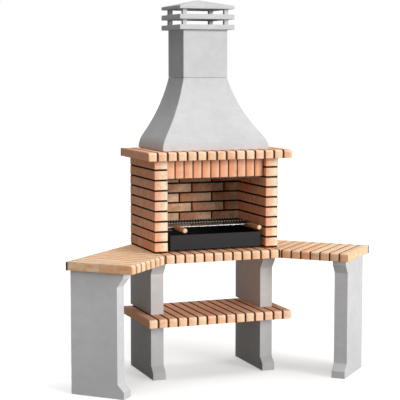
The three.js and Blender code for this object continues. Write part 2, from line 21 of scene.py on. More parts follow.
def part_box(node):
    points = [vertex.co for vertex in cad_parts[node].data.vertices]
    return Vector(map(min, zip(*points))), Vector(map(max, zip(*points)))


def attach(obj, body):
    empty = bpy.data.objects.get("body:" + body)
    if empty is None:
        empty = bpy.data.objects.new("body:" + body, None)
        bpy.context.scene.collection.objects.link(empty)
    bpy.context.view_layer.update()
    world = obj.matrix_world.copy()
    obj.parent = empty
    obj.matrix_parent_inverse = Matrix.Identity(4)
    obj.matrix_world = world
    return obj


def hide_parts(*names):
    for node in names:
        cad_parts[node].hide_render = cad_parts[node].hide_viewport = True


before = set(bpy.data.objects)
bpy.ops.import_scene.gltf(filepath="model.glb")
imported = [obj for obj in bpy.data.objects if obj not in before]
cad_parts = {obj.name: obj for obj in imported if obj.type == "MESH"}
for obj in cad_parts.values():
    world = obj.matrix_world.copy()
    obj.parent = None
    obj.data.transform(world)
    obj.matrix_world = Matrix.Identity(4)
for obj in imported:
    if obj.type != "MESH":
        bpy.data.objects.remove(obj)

LOG = logging.getLogger("barbecue")

Colour = tuple[float, float, float]
Point = tuple[float, float, float]
Flat = tuple[float, float]
Span = tuple[float, float]
Operand = Union["Wire", float, Sequence[float]]
Tint = Union["Wire", Colour]
Solid = bmesh.types.BMesh


# Shader maths

NOISE_MIDDLE = 0.5


def linear(colour: Colour) -> tuple[float, float, float, float]:
    """Turns a colour as it is seen on a screen into the one a shader works with.

    Args:
        colour: Red, green and blue from 0 to 255.

    Returns:
        The linear red, green and blue, and full opacity.
    """
    parts = [c / 255.0 for c in colour]
    red, green, blue = (
        p / 12.92 if p <= 0.04045 else ((p + 0.055) / 1.055) ** 2.4 for p in parts
    )
    return red, green, blue, 1.0


class Kind(Enum):
    """What a wire carries."""

    VALUE = "value"
    VECTOR = "vector"
    COLOUR = "colour"


class Wire:
    """A socket that can be written in Python expressions."""

    def __init__(
        self, shader: "Shader", socket: bpy.types.NodeSocket, kind: Kind = Kind.VALUE
    ) -> None:
        """Wraps a socket.

        Args:
            shader: The node tree that the socket is in.
            socket: The output that the wire starts from.
            kind: What it carries.
        """
        self.shader = shader
        self.socket = socket
        self.kind = kind

    def _joined(self, operation: str, first: Operand, second: Operand) -> "Wire":
        """Adds the node for one operation.

        Args:
            operation: The Math or Vector Math operation.
            first: The left-hand operand.
            second: The right-hand operand.

        Returns:
            The result.
        """
        node_type = "ShaderNodeMath" if self.kind is Kind.VALUE else "ShaderNodeVectorMath"
        node = self.shader.add(node_type, {"operation": operation}, {0: first, 1: second})
        return Wire(self.shader, node.outputs[0], self.kind)

    def __add__(self, other: Operand) -> "Wire":
        """The sum."""
        return self._joined("ADD", self, other)

    def __radd__(self, other: Operand) -> "Wire":
        """The sum, with the plain number first."""
        return self._joined("ADD", other, self)

    def __sub__(self, other: Operand) -> "Wire":
        """The difference."""
        return self._joined("SUBTRACT", self, other)

    def __rsub__(self, other: Operand) -> "Wire":
        """The difference, with the plain number first."""
        return self._joined("SUBTRACT", other, self)

    def __mul__(self, other: Operand) -> "Wire":
        """The product."""
        return self._joined("MULTIPLY", self, other)

    def __rmul__(self, other: Operand) -> "Wire":
        """The product, with the plain number first."""
        return self._joined("MULTIPLY", other, self)

    def __truediv__(self, other: Operand) -> "Wire":
        """The quotient."""
        return self._joined("DIVIDE", self, other)

    def __rtruediv__(self, other: Operand) -> "Wire":
        """The quotient, with the plain number first."""
        return self._joined("DIVIDE", other, self)

    def lowest(self, other: Operand) -> "Wire":
        """The smaller of the two."""
        return self._joined("MINIMUM", self, other)

    def highest(self, other: Operand) -> "Wire":
        """The larger of the two."""
        return self._joined("MAXIMUM", self, other)

    def fraction(self) -> "Wire":
        """What is left over a whole number."""
        return self._joined("FRACT", self, 0.0)

    def step(self, low: float, high: float) -> "Wire":
        """Rises smoothly from 0 at one value to 1 at another.

        Args:
            low: The value where it is still 0.
            high: The value where it reaches 1.

        Returns:
            The share from 0 to 1.
        """
        flipped = low > high
        ends = (high, low) if flipped else (low, high)
        inputs = {0: self, 1: ends[0], 2: ends[1], 3: float(flipped), 4: float(not flipped)}
        settings = {"interpolation_type": "SMOOTHSTEP"}
        node = self.shader.add("ShaderNodeMapRange", settings, inputs)
        return Wire(self.shader, node.outputs[0])

    def parts(self) -> tuple["Wire", "Wire", "Wire"]:
        """The three numbers of a vector."""
        node = self.shader.add("ShaderNodeSeparateXYZ", {}, {0: self})
        return tuple(Wire(self.shader, out) for out in node.outputs)


@dataclass(frozen=True)
class Patches:
    """Soft random patches.

    Attributes:
        size: About how wide one patch is.
        detail: How many finer layers it has.
        roughness: How strong the finer layers are.
        drag: How the patches are drawn out, across, along and up, or None.
    """

    size: float
    detail: float = 2.0
    roughness: float = 0.5
    drag: Union[Point, None] = None


class Shader:
    """The node tree of a material or of the world."""

    def __init__(self, owner: Union[bpy.types.Material, bpy.types.World]) -> None:
        """Empties the tree.

        Args:
            owner: The material or the world that the tree belongs to.
        """
        owner.use_nodes = True
        self.owner = owner
        self.tree = owner.node_tree
        self.tree.nodes.clear()

    @classmethod
    def of_material(cls, name: str) -> "Shader":
        """The tree of a new material."""
        return cls(bpy.data.materials.new(name))

    def add(
        self,
        node_type: str,
        settings: Mapping[str, Any],
        inputs: Mapping[Union[int, str], Any],
    ) -> bpy.types.Node:
        """Adds any node.

        Args:
            node_type: Blender's name of the node.
            settings: Its own settings, or the stops of its ramp, set first.
            inputs: Numbers, colours or wires for its sockets, by number or name.

        Returns:
            The node.
        """
        node = self.tree.nodes.new(node_type)
        for name, value in settings.items():
            if name == "stops":
                ramp = node.color_ramp
                while len(ramp.elements) < len(value):
                    ramp.elements.new(1.0)
                for element, (place, colour) in zip(ramp.elements, value):
                    element.position = place
                    element.color = linear(colour)
            else:
                setattr(node, name, value)
        for key, value in inputs.items():
            if isinstance(value, Wire):
                self.tree.links.new(value.socket, node.inputs[key])
            else:
                node.inputs[key].default_value = value
        return node

    def shade(self, node_type: str, inputs: Mapping[Union[int, str], Any]) -> Wire:
        """What comes out of any node that has a shader as its first output."""
        return Wire(self, self.add(node_type, {}, inputs).outputs[0])

    def place(self) -> Wire:
        """Where a point lies on the piece, which goes with the piece when it moves."""
        node = self.add("ShaderNodeTexCoord", {}, {})
        return Wire(self, node.outputs["Object"], Kind.VECTOR)

    def facing(self) -> Wire:
        """Which way the surface faces."""
        node = self.add("ShaderNodeNewGeometry", {}, {})
        return Wire(self, node.outputs["Normal"], Kind.VECTOR)

    def number_at(self, name: str) -> Wire:
        """A number that the mesh keeps at its corners."""
        node = self.add("ShaderNodeAttribute", {"attribute_name": name}, {})
        return Wire(self, node.outputs["Fac"])

    def vector_at(self, name: str) -> Wire:
        """A vector that the mesh keeps at its corners."""
        node = self.add("ShaderNodeAttribute", {"attribute_name": name}, {})
        return Wire(self, node.outputs["Vector"], Kind.VECTOR)

    def vector(self, x: Operand, y: Operand, z: Operand) -> Wire:
        """Puts three numbers together."""
        node = self.add("ShaderNodeCombineXYZ", {}, {0: x, 1: y, 2: z})
        return Wire(self, node.outputs[0], Kind.VECTOR)

    def cloud(self, place: Wire, patches: Patches) -> Wire:
        """Soft random patches.

        Args:
            place: Where a point lies.
            patches: What the patches are like.

        Returns:
            A number from about 0.2 to 0.8.
        """
        if patches.drag:
            place = place * patches.drag
        inputs = {
            "Vector": place,
            "Scale": 1.0 / patches.size,
            "Detail": patches.detail,
            "Roughness": patches.roughness,
        }
        return Wire(self, self.add("ShaderNodeTexNoise", {}, inputs).outputs[0])

    def cells(self, place: Wire, size: float) -> Wire:
        """The distance to the nearest of scattered points, in units of their spacing."""
        node = self.add("ShaderNodeTexVoronoi", {}, {"Vector": place, "Scale": 1.0 / size})
        return Wire(self, node.outputs["Distance"])

    def mix(self, share: Operand, first: Tint, second: Tint) -> Wire:
        """Mixes two colours.

        Args:
            share: How much of the second one shows.
            first: The first colour.
            second: The second colour.

        Returns:
            The mixed colour.
        """
        pair = [c if isinstance(c, Wire) else linear(c) for c in (first, second)]
        node = self.add(
            "ShaderNodeMix", {"data_type": "RGBA"}, {0: share, 6: pair[0], 7: pair[1]}
        )
        return Wire(self, node.outputs[2], Kind.COLOUR)

    def layers(self, colour: Tint, *marks: tuple[Operand, Tint]) -> Wire:
        """Lays colours one after the other over the first.

        Args:
            colour: The colour under them.
            *marks: The share and the colour of each one.

        Returns:
            The mixed colour.
        """
        for share, tone in marks:
            colour = self.mix(share, colour, tone)
        return colour

    def ramp(self, share: Wire, stops: Sequence[tuple[float, Colour]]) -> Wire:
        """A colour that changes with a number from 0 to 1."""
        node = self.add("ShaderNodeValToRGB", {"stops": stops}, {0: share})
        return Wire(self, node.outputs[0], Kind.COLOUR)

    def relief(self, height: Wire, depth: float, strength: float = 1.0) -> Wire:
        """The normal of a height from 0 to 1, where 1 stands for so many metres of depth."""
        inputs = {"Strength": strength, "Distance": depth, "Height": height}
        return Wire(self, self.add("ShaderNodeBump", {}, inputs).outputs[0], Kind.VECTOR)

    def surface(self, **inputs: Any) -> bpy.types.Material:
        """Ends the tree in a surface.

        Args:
            **inputs: Sockets of the surface, with _ for each space.

        Returns:
            The finished material.
        """
        named = {key.replace("_", " "): value for key, value in inputs.items()}
        skin = self.shade("ShaderNodeBsdfPrincipled", named)
        self.add("ShaderNodeOutputMaterial", {}, {"Surface": skin})
        return self.owner


# Finishes


@dataclass(frozen=True)
class Fade:
    """How a pattern turns into the share of a colour that shows.

    Attributes:
        start: The pattern's value where the colour starts.
        full: The pattern's value where the colour is full.
        most: The share that shows there.
    """

    start: float
    full: float
    most: float = 1.0

    def over(self, pattern: Wire) -> Wire:
        """The share of the colour over the pattern."""
        return pattern.step(self.start, self.full) * self.most


# Fired clay
CLAY_CLOUDS = Patches(0.03, 3.0, 0.6)
CLAY_SMEARS = Patches(0.012, 3.0, 0.65, (1.0, 0.35, 1.0))
CLAY_GRAIN = Patches(0.0016, 3.0, 0.7)
CLAY_MARKS = Patches(0.02, 3.0, 0.65)
# Dark clouds of painted shade for the firebox's back panel.
CLAY_SHADE_CLOUDS = Patches(0.11, 3.0, 0.6)
CLAY_PITS = 0.0045
SEED_SHIFT = (37.0, 53.0, 71.0)
MARK_SHIFT = (9.0, 7.0, 1.0)
CLOUD_WARP = 0.5
SMEAR_WARP = 0.004
WIDE_SIDE = Fade(0.0025, 0.0005)
FLUSH_SIDE = Fade(0.42, 0.0)
# CROWN_RISE and UNDER_CROWN mask the top arris, where a paler painted highlight is laid.
CROWN_RISE = Fade(0.6, 1.0)
UNDER_CROWN = Fade(0.0, 0.0015)
# BED_FACE masks the top face, which takes the redder flush colour as painted shade.
BED_FACE = Fade(0.002, 0.0)
FRONT_END = Fade(0.004, 0.002)
SMEARED = Fade(0.5, 0.78, 0.32)
DULLED = Fade(0.52, 0.3, 0.22)
IRON_SPECKS = Fade(0.62, 0.74, 0.35)
LIME_SPECKS = Fade(0.36, 0.27, 0.3)
RUBBED_ARRIS = Fade(0.0035, 0.0004, 0.25)
SHADE_CLOUDS_SHOW = Fade(0.32, 0.66)
PITTED = Fade(0.2, 0.05)
# The painted highlight's colour along the top arris.
CROWN_HIGHLIGHT_TONE = (255, 236, 218)
DULL_CLAY = (196, 138, 104)
IRON_TONE = (150, 92, 66)
LIME_TONE = (255, 240, 214)
RUBBED_CLAY = (214, 150, 112)
# The colour of the painted shade clouds.
CLOUD_SHADE_TONE = (74, 56, 46)


@dataclass(frozen=True)
class Brick:
    """Fired clay that differs from brick to brick and pales across each one.

    Attributes:
        name: The material's name.
        firing: The colours that bricks come out of the kiln with, over their seed.
        flush: The redder clay at a brick's left-hand side.
        cream: The paler clay at its right-hand side.
        reach: The shares of the width where the cream starts and is full.
        strength: How much of the flush and the cream shows.
        side: Where the wide sides lie between the flush, at 0, and the cream, at 1.
        swing: How far the marks on the wide sides take them towards either.
        drag: How the marks on the wide sides are drawn out, across, along and up.
        crown: How much paler the top edge is, a painted highlight.
        bed: How much redder the top face is, a painted reddish tint of shade.
        tip: How much redder the front end is.
        soot: How much dark clouds darken it, painted shade of the firebox.
    """

    name: str
    firing: tuple[tuple[float, Colour], ...]
    flush: Colour
    cream: Colour
    reach: Span = (0.3, 0.85)
    strength: float = 0.8
    side: float = 0.2
    swing: float = 2.4
    drag: Point = (1.0, 1.0, 0.3)
    crown: float = 0.0
    bed: float = 0.0
    tip: float = 0.0
    soot: float = 0.0

    def material(self) -> bpy.types.Material:
        """Builds the material.

        Returns:
            The material.
        """
        s = Shader.of_material(self.name)
        seed = s.number_at("seed")
        low, high = s.vector_at("from_low"), s.vector_at("from_high")
        place = s.place() + s.vector(*(seed * shift for shift in SEED_SHIFT))
        left, front, under = low.parts()
        right, back, over = high.parts()
        across = left / (left + right)
        upward = under / (under + over)
        near_x, near_y, near_z = left.lowest(right), front.lowest(back), under.lowest(over)
        clouds = s.cloud(place, CLAY_CLOUDS)
        smears = s.cloud(place, CLAY_SMEARS)
        grain = s.cloud(place, CLAY_GRAIN)
        drawn_out = (low + s.vector(*(seed * shift for shift in MARK_SHIFT))) * self.drag
        marks = s.cloud(drawn_out, CLAY_MARKS)
        warped = across + (clouds - NOISE_MIDDLE) * CLOUD_WARP
        on_side = self.side + (marks - NOISE_MIDDLE) * self.swing - warped
        warped = warped + WIDE_SIDE.over(near_x) * on_side
        arris = near_x.lowest(near_y).highest(near_x.highest(near_y).lowest(near_z))
        arris = arris + (smears - NOISE_MIDDLE) * SMEAR_WARP
        shade_clouds = s.cloud(s.place(), CLAY_SHADE_CLOUDS)
        colour = s.layers(
            s.ramp(seed, self.firing),
            (FLUSH_SIDE.over(warped) * self.strength, self.flush),
            (warped.step(*self.reach) * self.strength, self.cream),
            # Painted highlight along the top arris.
            (CROWN_RISE.over(upward) * UNDER_CROWN.over(over) * self.crown, CROWN_HIGHLIGHT_TONE),
            # Painted shade: the top face is tinted redder.
            (BED_FACE.over(over) * self.bed, self.flush),
            (FRONT_END.over(front) * self.tip, self.flush),
            (SMEARED.over(smears), self.flush),
            (DULLED.over(clouds), DULL_CLAY),
            (IRON_SPECKS.over(grain), IRON_TONE),
            (LIME_SPECKS.over(grain), LIME_TONE),
            (RUBBED_ARRIS.over(arris), RUBBED_CLAY),
            # Painted shade of the firebox, laid in dark clouds.
            (SHADE_CLOUDS_SHOW.over(shade_clouds) * self.soot, CLOUD_SHADE_TONE),
        )
        pits = PITTED.over(s.cells(place, CLAY_PITS))
        height = 0.5 + grain * 0.4 + clouds * 0.5 - pits * 0.5
        return s.surface(
            Base_Color=colour,
            Roughness=0.78 + grain * 0.2,
            Specular_IOR_Level=0.25,
            Normal=s.relief(height, depth=0.0007, strength=0.7),
        )


# Mortar
SAND_GRAINS = Patches(0.0014, 3.0, 0.7)
MORTAR_DAMP = Patches(0.05, 3.0, 0.6)
TROWEL_MARKS = Patches(0.008, 2.0, 0.5)
SAND_SHOWS = Fade(0.52, 0.7)
DAMP_SHOWS = Fade(0.35, 0.65, 0.35)
DAMP_DARKNESS = 0.6
# Upward-facing mortar sits in the recessed joints; its darker colour there is painted shade.
TOP_SHADE_SHOWS = Fade(0.5, 0.8, 0.85)
DUST_EDGE = 0.001


@dataclass(frozen=True)
class Mortar:
    """Dark sanded mortar.

    Attributes:
        name: The material's name.
        body: Its colour.
        sand: The colour of the grains that show.
        share: How many of the grains show.
        grime: Its colour where it faces upwards, painted shade of the recessed joints.
        clay: The colour it takes on from brick dust over the opening.
        opening: Half the width of the opening, and the level that the dust starts at.
    """

    name: str
    body: Colour
    sand: Colour
    share: float = 0.5
    grime: Colour = (30, 13, 6)
    clay: Colour = (62, 32, 17)
    opening: Flat = (0.0, 0.0)

    def material(self) -> bpy.types.Material:
        """Builds the material.

        Returns:
            The material.
        """
        s = Shader.of_material(self.name)
        place = s.place()
        grains = s.cloud(place, SAND_GRAINS)
        trowel = s.cloud(place, TROWEL_MARKS)
        _, _, upward = s.facing().parts()
        colour = s.layers(
            self.body,
            (SAND_SHOWS.over(grains) * self.share, self.sand),
            (
                DAMP_SHOWS.over(s.cloud(place, MORTAR_DAMP)),
                tuple(c * DAMP_DARKNESS for c in self.body),
            ),
            # Painted shade on the tops of the recessed joints.
            (TOP_SHADE_SHOWS.over(upward), self.grime),
        )
        half, level = self.opening
        if half:
            x, _, z = place.parts()
            inside = x.highest(-1.0 * x).step(half, half - DUST_EDGE)
            dusty = inside * z.step(level, level + DUST_EDGE)
            colour = s.mix(dusty * (0.6 + grains * 0.5), colour, self.clay)
        return s.surface(
            Base_Color=colour,
            Roughness=0.86 + grains * 0.14,
            Specular_IOR_Level=0.05,
            Normal=s.relief(grains * 0.6 + trowel, depth=0.0012, strength=0.8),
        )


# Cast concrete
CAST_AREAS = Patches(0.16, 3.0, 0.55)
CAST_CLOUDS = Patches(0.055, 4.0, 0.6, (1.0, 1.0, 1.4))
CAST_GRIT = Patches(0.0022, 3.0, 0.7)
CAST_RUNS = Patches(0.03, 3.0, 0.55, (1.0, 1.0, 0.12))
HOLE_AREAS = Patches(0.03)
HOLE_SPACING = 0.017
DARK_AREAS = Fade(0.38, 0.62, 0.5)
PALE_CLOUDS = Fade(0.5, 0.68, 0.4)
DARK_CLOUDS = Fade(0.46, 0.3, 0.4)
DARK_RUNS = Fade(0.56, 0.72, 0.2)
DARK_GRIT = Fade(0.6, 0.72, 0.2)
PALE_GRIT = Fade(0.38, 0.28, 0.2)
AIR_HOLES = Fade(0.085, 0.045)
HOLES_SHOW = Fade(0.52, 0.6)
HOLE_SHADE = 0.5
FOOT_WARP = 0.1
DARK_GRIT_TONE = (150, 149, 148)
PALE_GRIT_TONE = (244, 244, 243)
HOLE_TONE = (124, 123, 122)


@dataclass(frozen=True)
class Concrete:
    """Pale cast concrete with soft clouds, fine grit and small air holes.

    Attributes:
        name: The material's name.
        body: Its main colour.
        shade: The colour of its darker clouds.
        bloom: The colour of its paler clouds.
        damp: How much painted shade darkens it towards its foot.
        foot: The height where that painted shade is full, and the one where it ends.
        wet: The colour of that painted shade.
    """

    name: str
    body: Colour
    shade: Colour
    bloom: Colour
    damp: float = 0.0
    foot: Span = (0.0, 1.0)
    wet: Colour = (146, 145, 143)

    def material(self) -> bpy.types.Material:
        """Builds the material.

        Returns:
            The material.
        """
        s = Shader.of_material(self.name)
        place = s.place()
        areas = s.cloud(place, CAST_AREAS)
        clouds = s.cloud(place, CAST_CLOUDS)
        grit = s.cloud(place, CAST_GRIT)
        holes = AIR_HOLES.over(s.cells(place, HOLE_SPACING))
        holes = holes * HOLES_SHOW.over(s.cloud(place, HOLE_AREAS))
        full, end = self.foot
        _, _, up = place.parts()
        up = up + (areas - NOISE_MIDDLE) * FOOT_WARP
        colour = s.layers(
            self.body,
            (DARK_AREAS.over(areas), self.shade),
            (PALE_CLOUDS.over(clouds), self.bloom),
            (DARK_CLOUDS.over(clouds), self.shade),
            (DARK_RUNS.over(s.cloud(place, CAST_RUNS)), self.shade),
            (DARK_GRIT.over(grit), DARK_GRIT_TONE),
            (PALE_GRIT.over(grit), PALE_GRIT_TONE),
            (holes * HOLE_SHADE, HOLE_TONE),
            # Painted shade: darker towards the foot.
            (up.step(end, full) * self.damp, self.wet),
        )
        height = 0.6 + grit * 0.3 + clouds * 0.25 - holes * 0.6
        return s.surface(
            Base_Color=colour,
            Roughness=0.8 + grit * 0.15,
            Specular_IOR_Level=0.25,
            Normal=s.relief(height, depth=0.0009, strength=0.6),
        )


# Painted steel
PAINT_DUST = Patches(0.07, 4.0, 0.6)
PAINT_PEEL = Patches(0.0012, 2.0, 0.5)
PAINT_RUBS = Patches(0.004, 3.0, 0.6, (0.15, 1.0, 1.0))
DUSTY = Fade(0.45, 0.75, 0.5)
RUBBED_PAINT = Fade(0.66, 0.76, 0.25)


@dataclass(frozen=True)
class BlackSteel:
    """Black stove paint on sheet steel, dull where the charcoal lies.

    Attributes:
        name: The material's name.
        body: The paint's colour.
        ash: The colour of the dust on it.
        sheen: How rough the clean paint is.
    """

    name: str
    body: Colour
    ash: Colour
    sheen: float

    def material(self) -> bpy.types.Material:
        """Builds the material.

        Returns:
            The material.
        """
        s = Shader.of_material(self.name)
        place = s.place()
        dust = s.cloud(place, PAINT_DUST)
        peel = s.cloud(place, PAINT_PEEL)
        colour = s.layers(
            self.body,
            (DUSTY.over(dust), self.ash),
            (RUBBED_PAINT.over(s.cloud(place, PAINT_RUBS)), self.ash),
        )
        return s.surface(
            Base_Color=colour,
            Roughness=self.sheen + dust * 0.2,
            Specular_IOR_Level=0.22,
            Normal=s.relief(peel + dust * 0.6, depth=0.0002, strength=0.5),
        )


# Bare metal
METAL_PATCHES = Patches(0.02, 4.0, 0.65)
METAL_SCRATCHES = Patches(0.0015, 2.0, 0.6, (1.0, 0.1, 1.0))
STAINED = Fade(0.46, 0.7)
STAIN_DULLS = 0.6
STAIN_ROUGHENS = 0.4


@dataclass(frozen=True)
class BareMetal:
    """Bare steel or bright chrome wire.

    Attributes:
        name: The material's name.
        body: The metal's colour.
        stain: The colour of rust, carbon or heat on it.
        amount: How much of the stain shows.
        polish: How rough it is where it is clean.
        shine: How metallic it is where it is clean.
    """

    name: str
    body: Colour
    stain: Colour
    amount: float
    polish: float
    shine: float = 1.0

    def material(self) -> bpy.types.Material:
        """Builds the material.

        Returns:
            The material.
        """
        s = Shader.of_material(self.name)
        place = s.place()
        patches = s.cloud(place, METAL_PATCHES)
        scratches = s.cloud(place, METAL_SCRATCHES)
        stained = STAINED.over(patches) * self.amount
        return s.surface(
            Base_Color=s.mix(stained, self.body, self.stain),
            Metallic=self.shine - stained * STAIN_DULLS * self.shine,
            Roughness=self.polish + stained * STAIN_ROUGHENS + scratches * 0.08,
            Normal=s.relief(scratches + patches * 0.5, depth=0.0002, strength=0.4),
        )


# Turned wood
ALONG_GRAIN = (1.0, 0.08, 1.0)
WOOD_STREAKS = Patches(0.0035, 4.0, 0.6, ALONG_GRAIN)
WOOD_BANDS = Patches(0.011, 2.0, 0.5, ALONG_GRAIN)
WOOD_PORES = Patches(0.0012, 2.0, 0.6, ALONG_GRAIN)
RINGS_PER_AREA = 26000.0
RING_WARP = 2.5
DARK_STREAKS = Fade(0.42, 0.68)
DARK_BANDS = Fade(0.5, 0.7, 0.5)
DARK_RINGS = Fade(0.72, 0.95, 0.25)


@dataclass(frozen=True)
class Wood:
    """Turned beech with its grain along the handle, and rings on its end.

    Attributes:
        name: The material's name.
        body: The wood's colour.
        grain: The colour of the darker grain.
        middle: Where the rings are centred on the end, across and up.
    """

    name: str
    body: Colour
    grain: Colour
    middle: Flat

    def material(self) -> bpy.types.Material:
        """Builds the material.

        Returns:
            The material.
        """
        s = Shader.of_material(self.name)
        place = s.place()
        streaks = s.cloud(place, WOOD_STREAKS)
        bands = s.cloud(place, WOOD_BANDS)
        pores = s.cloud(place, WOOD_PORES)
        x, _, z = place.parts()
        dx, dz = x - self.middle[0], z - self.middle[1]
        rings = ((dx * dx + dz * dz) * RINGS_PER_AREA + bands * RING_WARP).fraction()
        colour = s.layers(
            self.body,
            (DARK_STREAKS.over(streaks), self.grain),
            (DARK_BANDS.over(bands), self.grain),
            (DARK_RINGS.over(rings), self.grain),
        )
        return s.surface(
            Base_Color=colour,
            Roughness=0.5 + streaks * 0.2,
            Coat_Weight=0.15 + bands * 0.1,
            Coat_Roughness=0.35,
            Normal=s.relief(streaks * 0.6 + pores * 0.4, depth=0.0003, strength=0.6),
        )


Finish = Union[Brick, Mortar, Concrete, BlackSteel, BareMetal, Wood]
WALL_BRICK = Brick(
    "wall_brick",
    ((0.0, (248, 194, 158)), (0.35, (252, 206, 170)), (0.7, (253, 214, 180)), (1.0, (246, 188, 150))),
    flush=(246, 172, 134),
    cream=(255, 243, 214),
    reach=(0.35, 0.85),
    strength=0.9,
    side=0.08,
)
# Darker than the wall brick and clouded dark: painted shade of the firebox.
BACK_SHADED_BRICK = Brick(
    "back_wall_brick_painted_shade",
    ((0.0, (230, 172, 132)), (0.5, (240, 190, 150)), (1.0, (220, 156, 116))),
    flush=(200, 128, 92),
    cream=(252, 220, 184),
    reach=(0.4, 0.95),
    strength=0.9,
    soot=0.42,
)
SOLDIER_BRICK = Brick(
    "soldier_brick",
    ((0.0, (250, 182, 143)), (0.5, (253, 194, 157)), (1.0, (248, 177, 136))),
    flush=(242, 154, 111),
    cream=(253, 216, 180),
    reach=(0.45, 1.0),
    strength=0.8,
)
SLIP_BRICK = Brick(
    "slip_brick",
    ((0.0, (246, 194, 152)), (0.3, (252, 212, 170)), (0.65, (254, 219, 183)), (1.0, (244, 186, 146))),
    flush=(248, 166, 122),
    cream=(255, 232, 204),
    reach=(0.4, 1.0),
    strength=0.6,
    side=-0.3,
    drag=(1.0, 0.2, 0.8),
    crown=0.35,
    bed=0.6,
)
LEFT_TABLE_BRICK = Brick(
    "left_table_brick",
    (
        (0.0, (254, 186, 134)), (0.3, (255, 216, 172)), (0.55, (255, 229, 192)),
        (0.8, (253, 204, 158)), (1.0, (255, 235, 202)),
    ),
    flush=(255, 170, 112),
    cream=(255, 234, 194),
    reach=(0.4, 0.9),
    strength=0.8,
    side=0.22,
    swing=1.7,
    drag=(1.0, 0.2, 0.8),
    crown=0.3,
)
RIGHT_TABLE_BRICK = replace(
    LEFT_TABLE_BRICK, name="right_table_brick", flush=(255, 158, 102), side=0.7, tip=0.35
)
WALL_JOINT = Mortar("wall_joint_mortar", (60, 38, 19), (84, 60, 38), 0.3, opening=(0.306, 1.185))
SLIP_JOINT = Mortar("slip_joint_mortar", (86, 58, 34), (118, 92, 62), 0.4)
CAST = Concrete("cast_concrete", (217, 217, 218), (206, 206, 207), (226, 226, 227))
# Lit and shaded copies of the cast concrete: the darker bodies of the hood and the lower legs are
# painted shade. The paler body of the outer legs is painted light, and the paler, warmer body of the
# upper legs is painted bounce light.
HOOD_SHADED_CAST = Concrete(
    "hood_concrete_painted_shade", (213, 213, 214), (202, 202, 203), (223, 223, 224),
    damp=0.15, foot=(1.22, 1.6),
)
OUTER_LIT_CAST = Concrete(
    "outer_leg_concrete", (230, 230, 231), (219, 219, 220), (238, 238, 239),
    damp=0.2, foot=(0.0, 0.66),
)
UPPER_LIT_SHADED_CAST = Concrete(
    "upper_leg_concrete", (223, 221, 219), (212, 210, 208), (231, 229, 227),
    damp=0.3, foot=(0.4, 0.7),
)
LOWER_SHADED_CAST = Concrete(
    "lower_leg_concrete", (205, 204, 204), (194, 193, 193), (214, 213, 213),
    damp=0.34, foot=(0.0, 0.36),
)
TRAY_PAINT = BlackSteel("tray_paint", (30, 29, 30), (46, 44, 43), sheen=0.5)
# A darker copy of the tray's paint for its inside: painted shade.
TRAY_INSIDE_SHADE = BlackSteel("tray_inside_painted_shade", (10, 10, 10), (22, 21, 20), sheen=0.75)
DARK_STEEL = BareMetal(
    "dark_steel", (70, 62, 56), (62, 38, 26), amount=0.8, polish=0.5, shine=0.6
)
CHROME = BareMetal("chromed_wire", (172, 173, 176), (92, 82, 76), amount=0.35, polish=0.22)
# A darker copy of the chrome for every wire behind the front one: painted shade.
SHADED_WIRE = BareMetal(
    "wire_painted_shade", (84, 78, 74), (40, 34, 30), amount=0.7, polish=0.3, shine=0.8
)
# Near-white, barely metallic beads: painted glints where the rods cross the wires.
WELD_GLINT = BareMetal(
    "weld_bead_painted_glint", (253, 252, 248), (230, 222, 210), amount=0.1, polish=0.3, shine=0.15
)


# Mesh work

SHARP_ANGLE = 0.45
ROUNDING_PROFILE = 0.6
WEAR_SHIFT = (31.0, 17.0, 7.0)
PLAIN_SEED = 0.5
BRICK_PITCH = 0.025
FILLING_PITCH = 0.2
CUT_TOLERANCE = 1e-6
MAIN_COAT, SECOND_COAT, THIRD_COAT = range(3)


@dataclass(frozen=True)
class Wear:
    """How unevenly a surface is worn.

    Attributes:
        depth: The most that it wears back.
        size: How wide the dips are.
    """

    depth: float
    size: float


def add_object(name: str, data: bpy.types.ID) -> bpy.types.Object:
    """Makes an object and puts it in the scene.

    Args:
        name: Its name.
        data: Its mesh, light or camera.

    Returns:
        The object.
    """
    made = bpy.data.objects.new(name, data)
    bpy.context.scene.collection.objects.link(made)
    return made


def random_for(*words: object) -> random.Random:
    """A source of chance that is the same on every run for the same words."""
    return random.Random("/".join(str(w) for w in words))


def round_trip(count: int) -> list[tuple[int, int]]:
    """Each number below a count with the next one, and the last with 0."""
    return [(i, (i + 1) % count) for i in range(count)]


def prism(outline: Sequence[Flat], across: Span) -> Solid:
    """Runs an outline along x.

    Args:
        outline: Points (y, z) round the outline.
        across: Where it starts and ends in x.

    Returns:
        The closed solid.
    """
    bm = bmesh.new()
    near = [bm.verts.new((across[0], y, z)) for y, z in outline]
    far = [bm.verts.new((across[1], y, z)) for y, z in outline]
    bm.faces.new(near)
    bm.faces.new(list(reversed(far)))
    for i, j in round_trip(len(outline)):
        bm.faces.new((near[i], far[i], far[j], near[j]))
    bmesh.ops.recalc_face_normals(bm, faces=bm.faces)
    return bm


def brick_form(across: Span, along: Span, height: Span, pitch: float = BRICK_PITCH) -> Solid:
    """A brick with extra corners along its length, so that its arrises can waver.

    Args:
        across: Its ends in x.
        along: Its ends in y.
        height: Its ends in z.
        pitch: About how far apart the extra corners are.

    Returns:
        The closed solid.
    """
    steps = max(1, round((along[1] - along[0]) / pitch))
    ys = [along[0] + (along[1] - along[0]) * i / steps for i in range(steps + 1)]
    lower = [(y, height[0]) for y in ys]
    upper = [(y, height[1]) for y in reversed(ys)]
    return prism([*lower, *upper], across)


def angles(start: float, sweep: float, faces: int) -> list[float]:
    """The angle at each corner of an arc with that many faces."""
    return [start + sweep * i / faces for i in range(faces + 1)]


class Ends(Enum):
    """How the ends of a loft are closed."""

    CAPPED = "a face across the first ring and the last"
    LOOPED = "the last ring joined to the first"


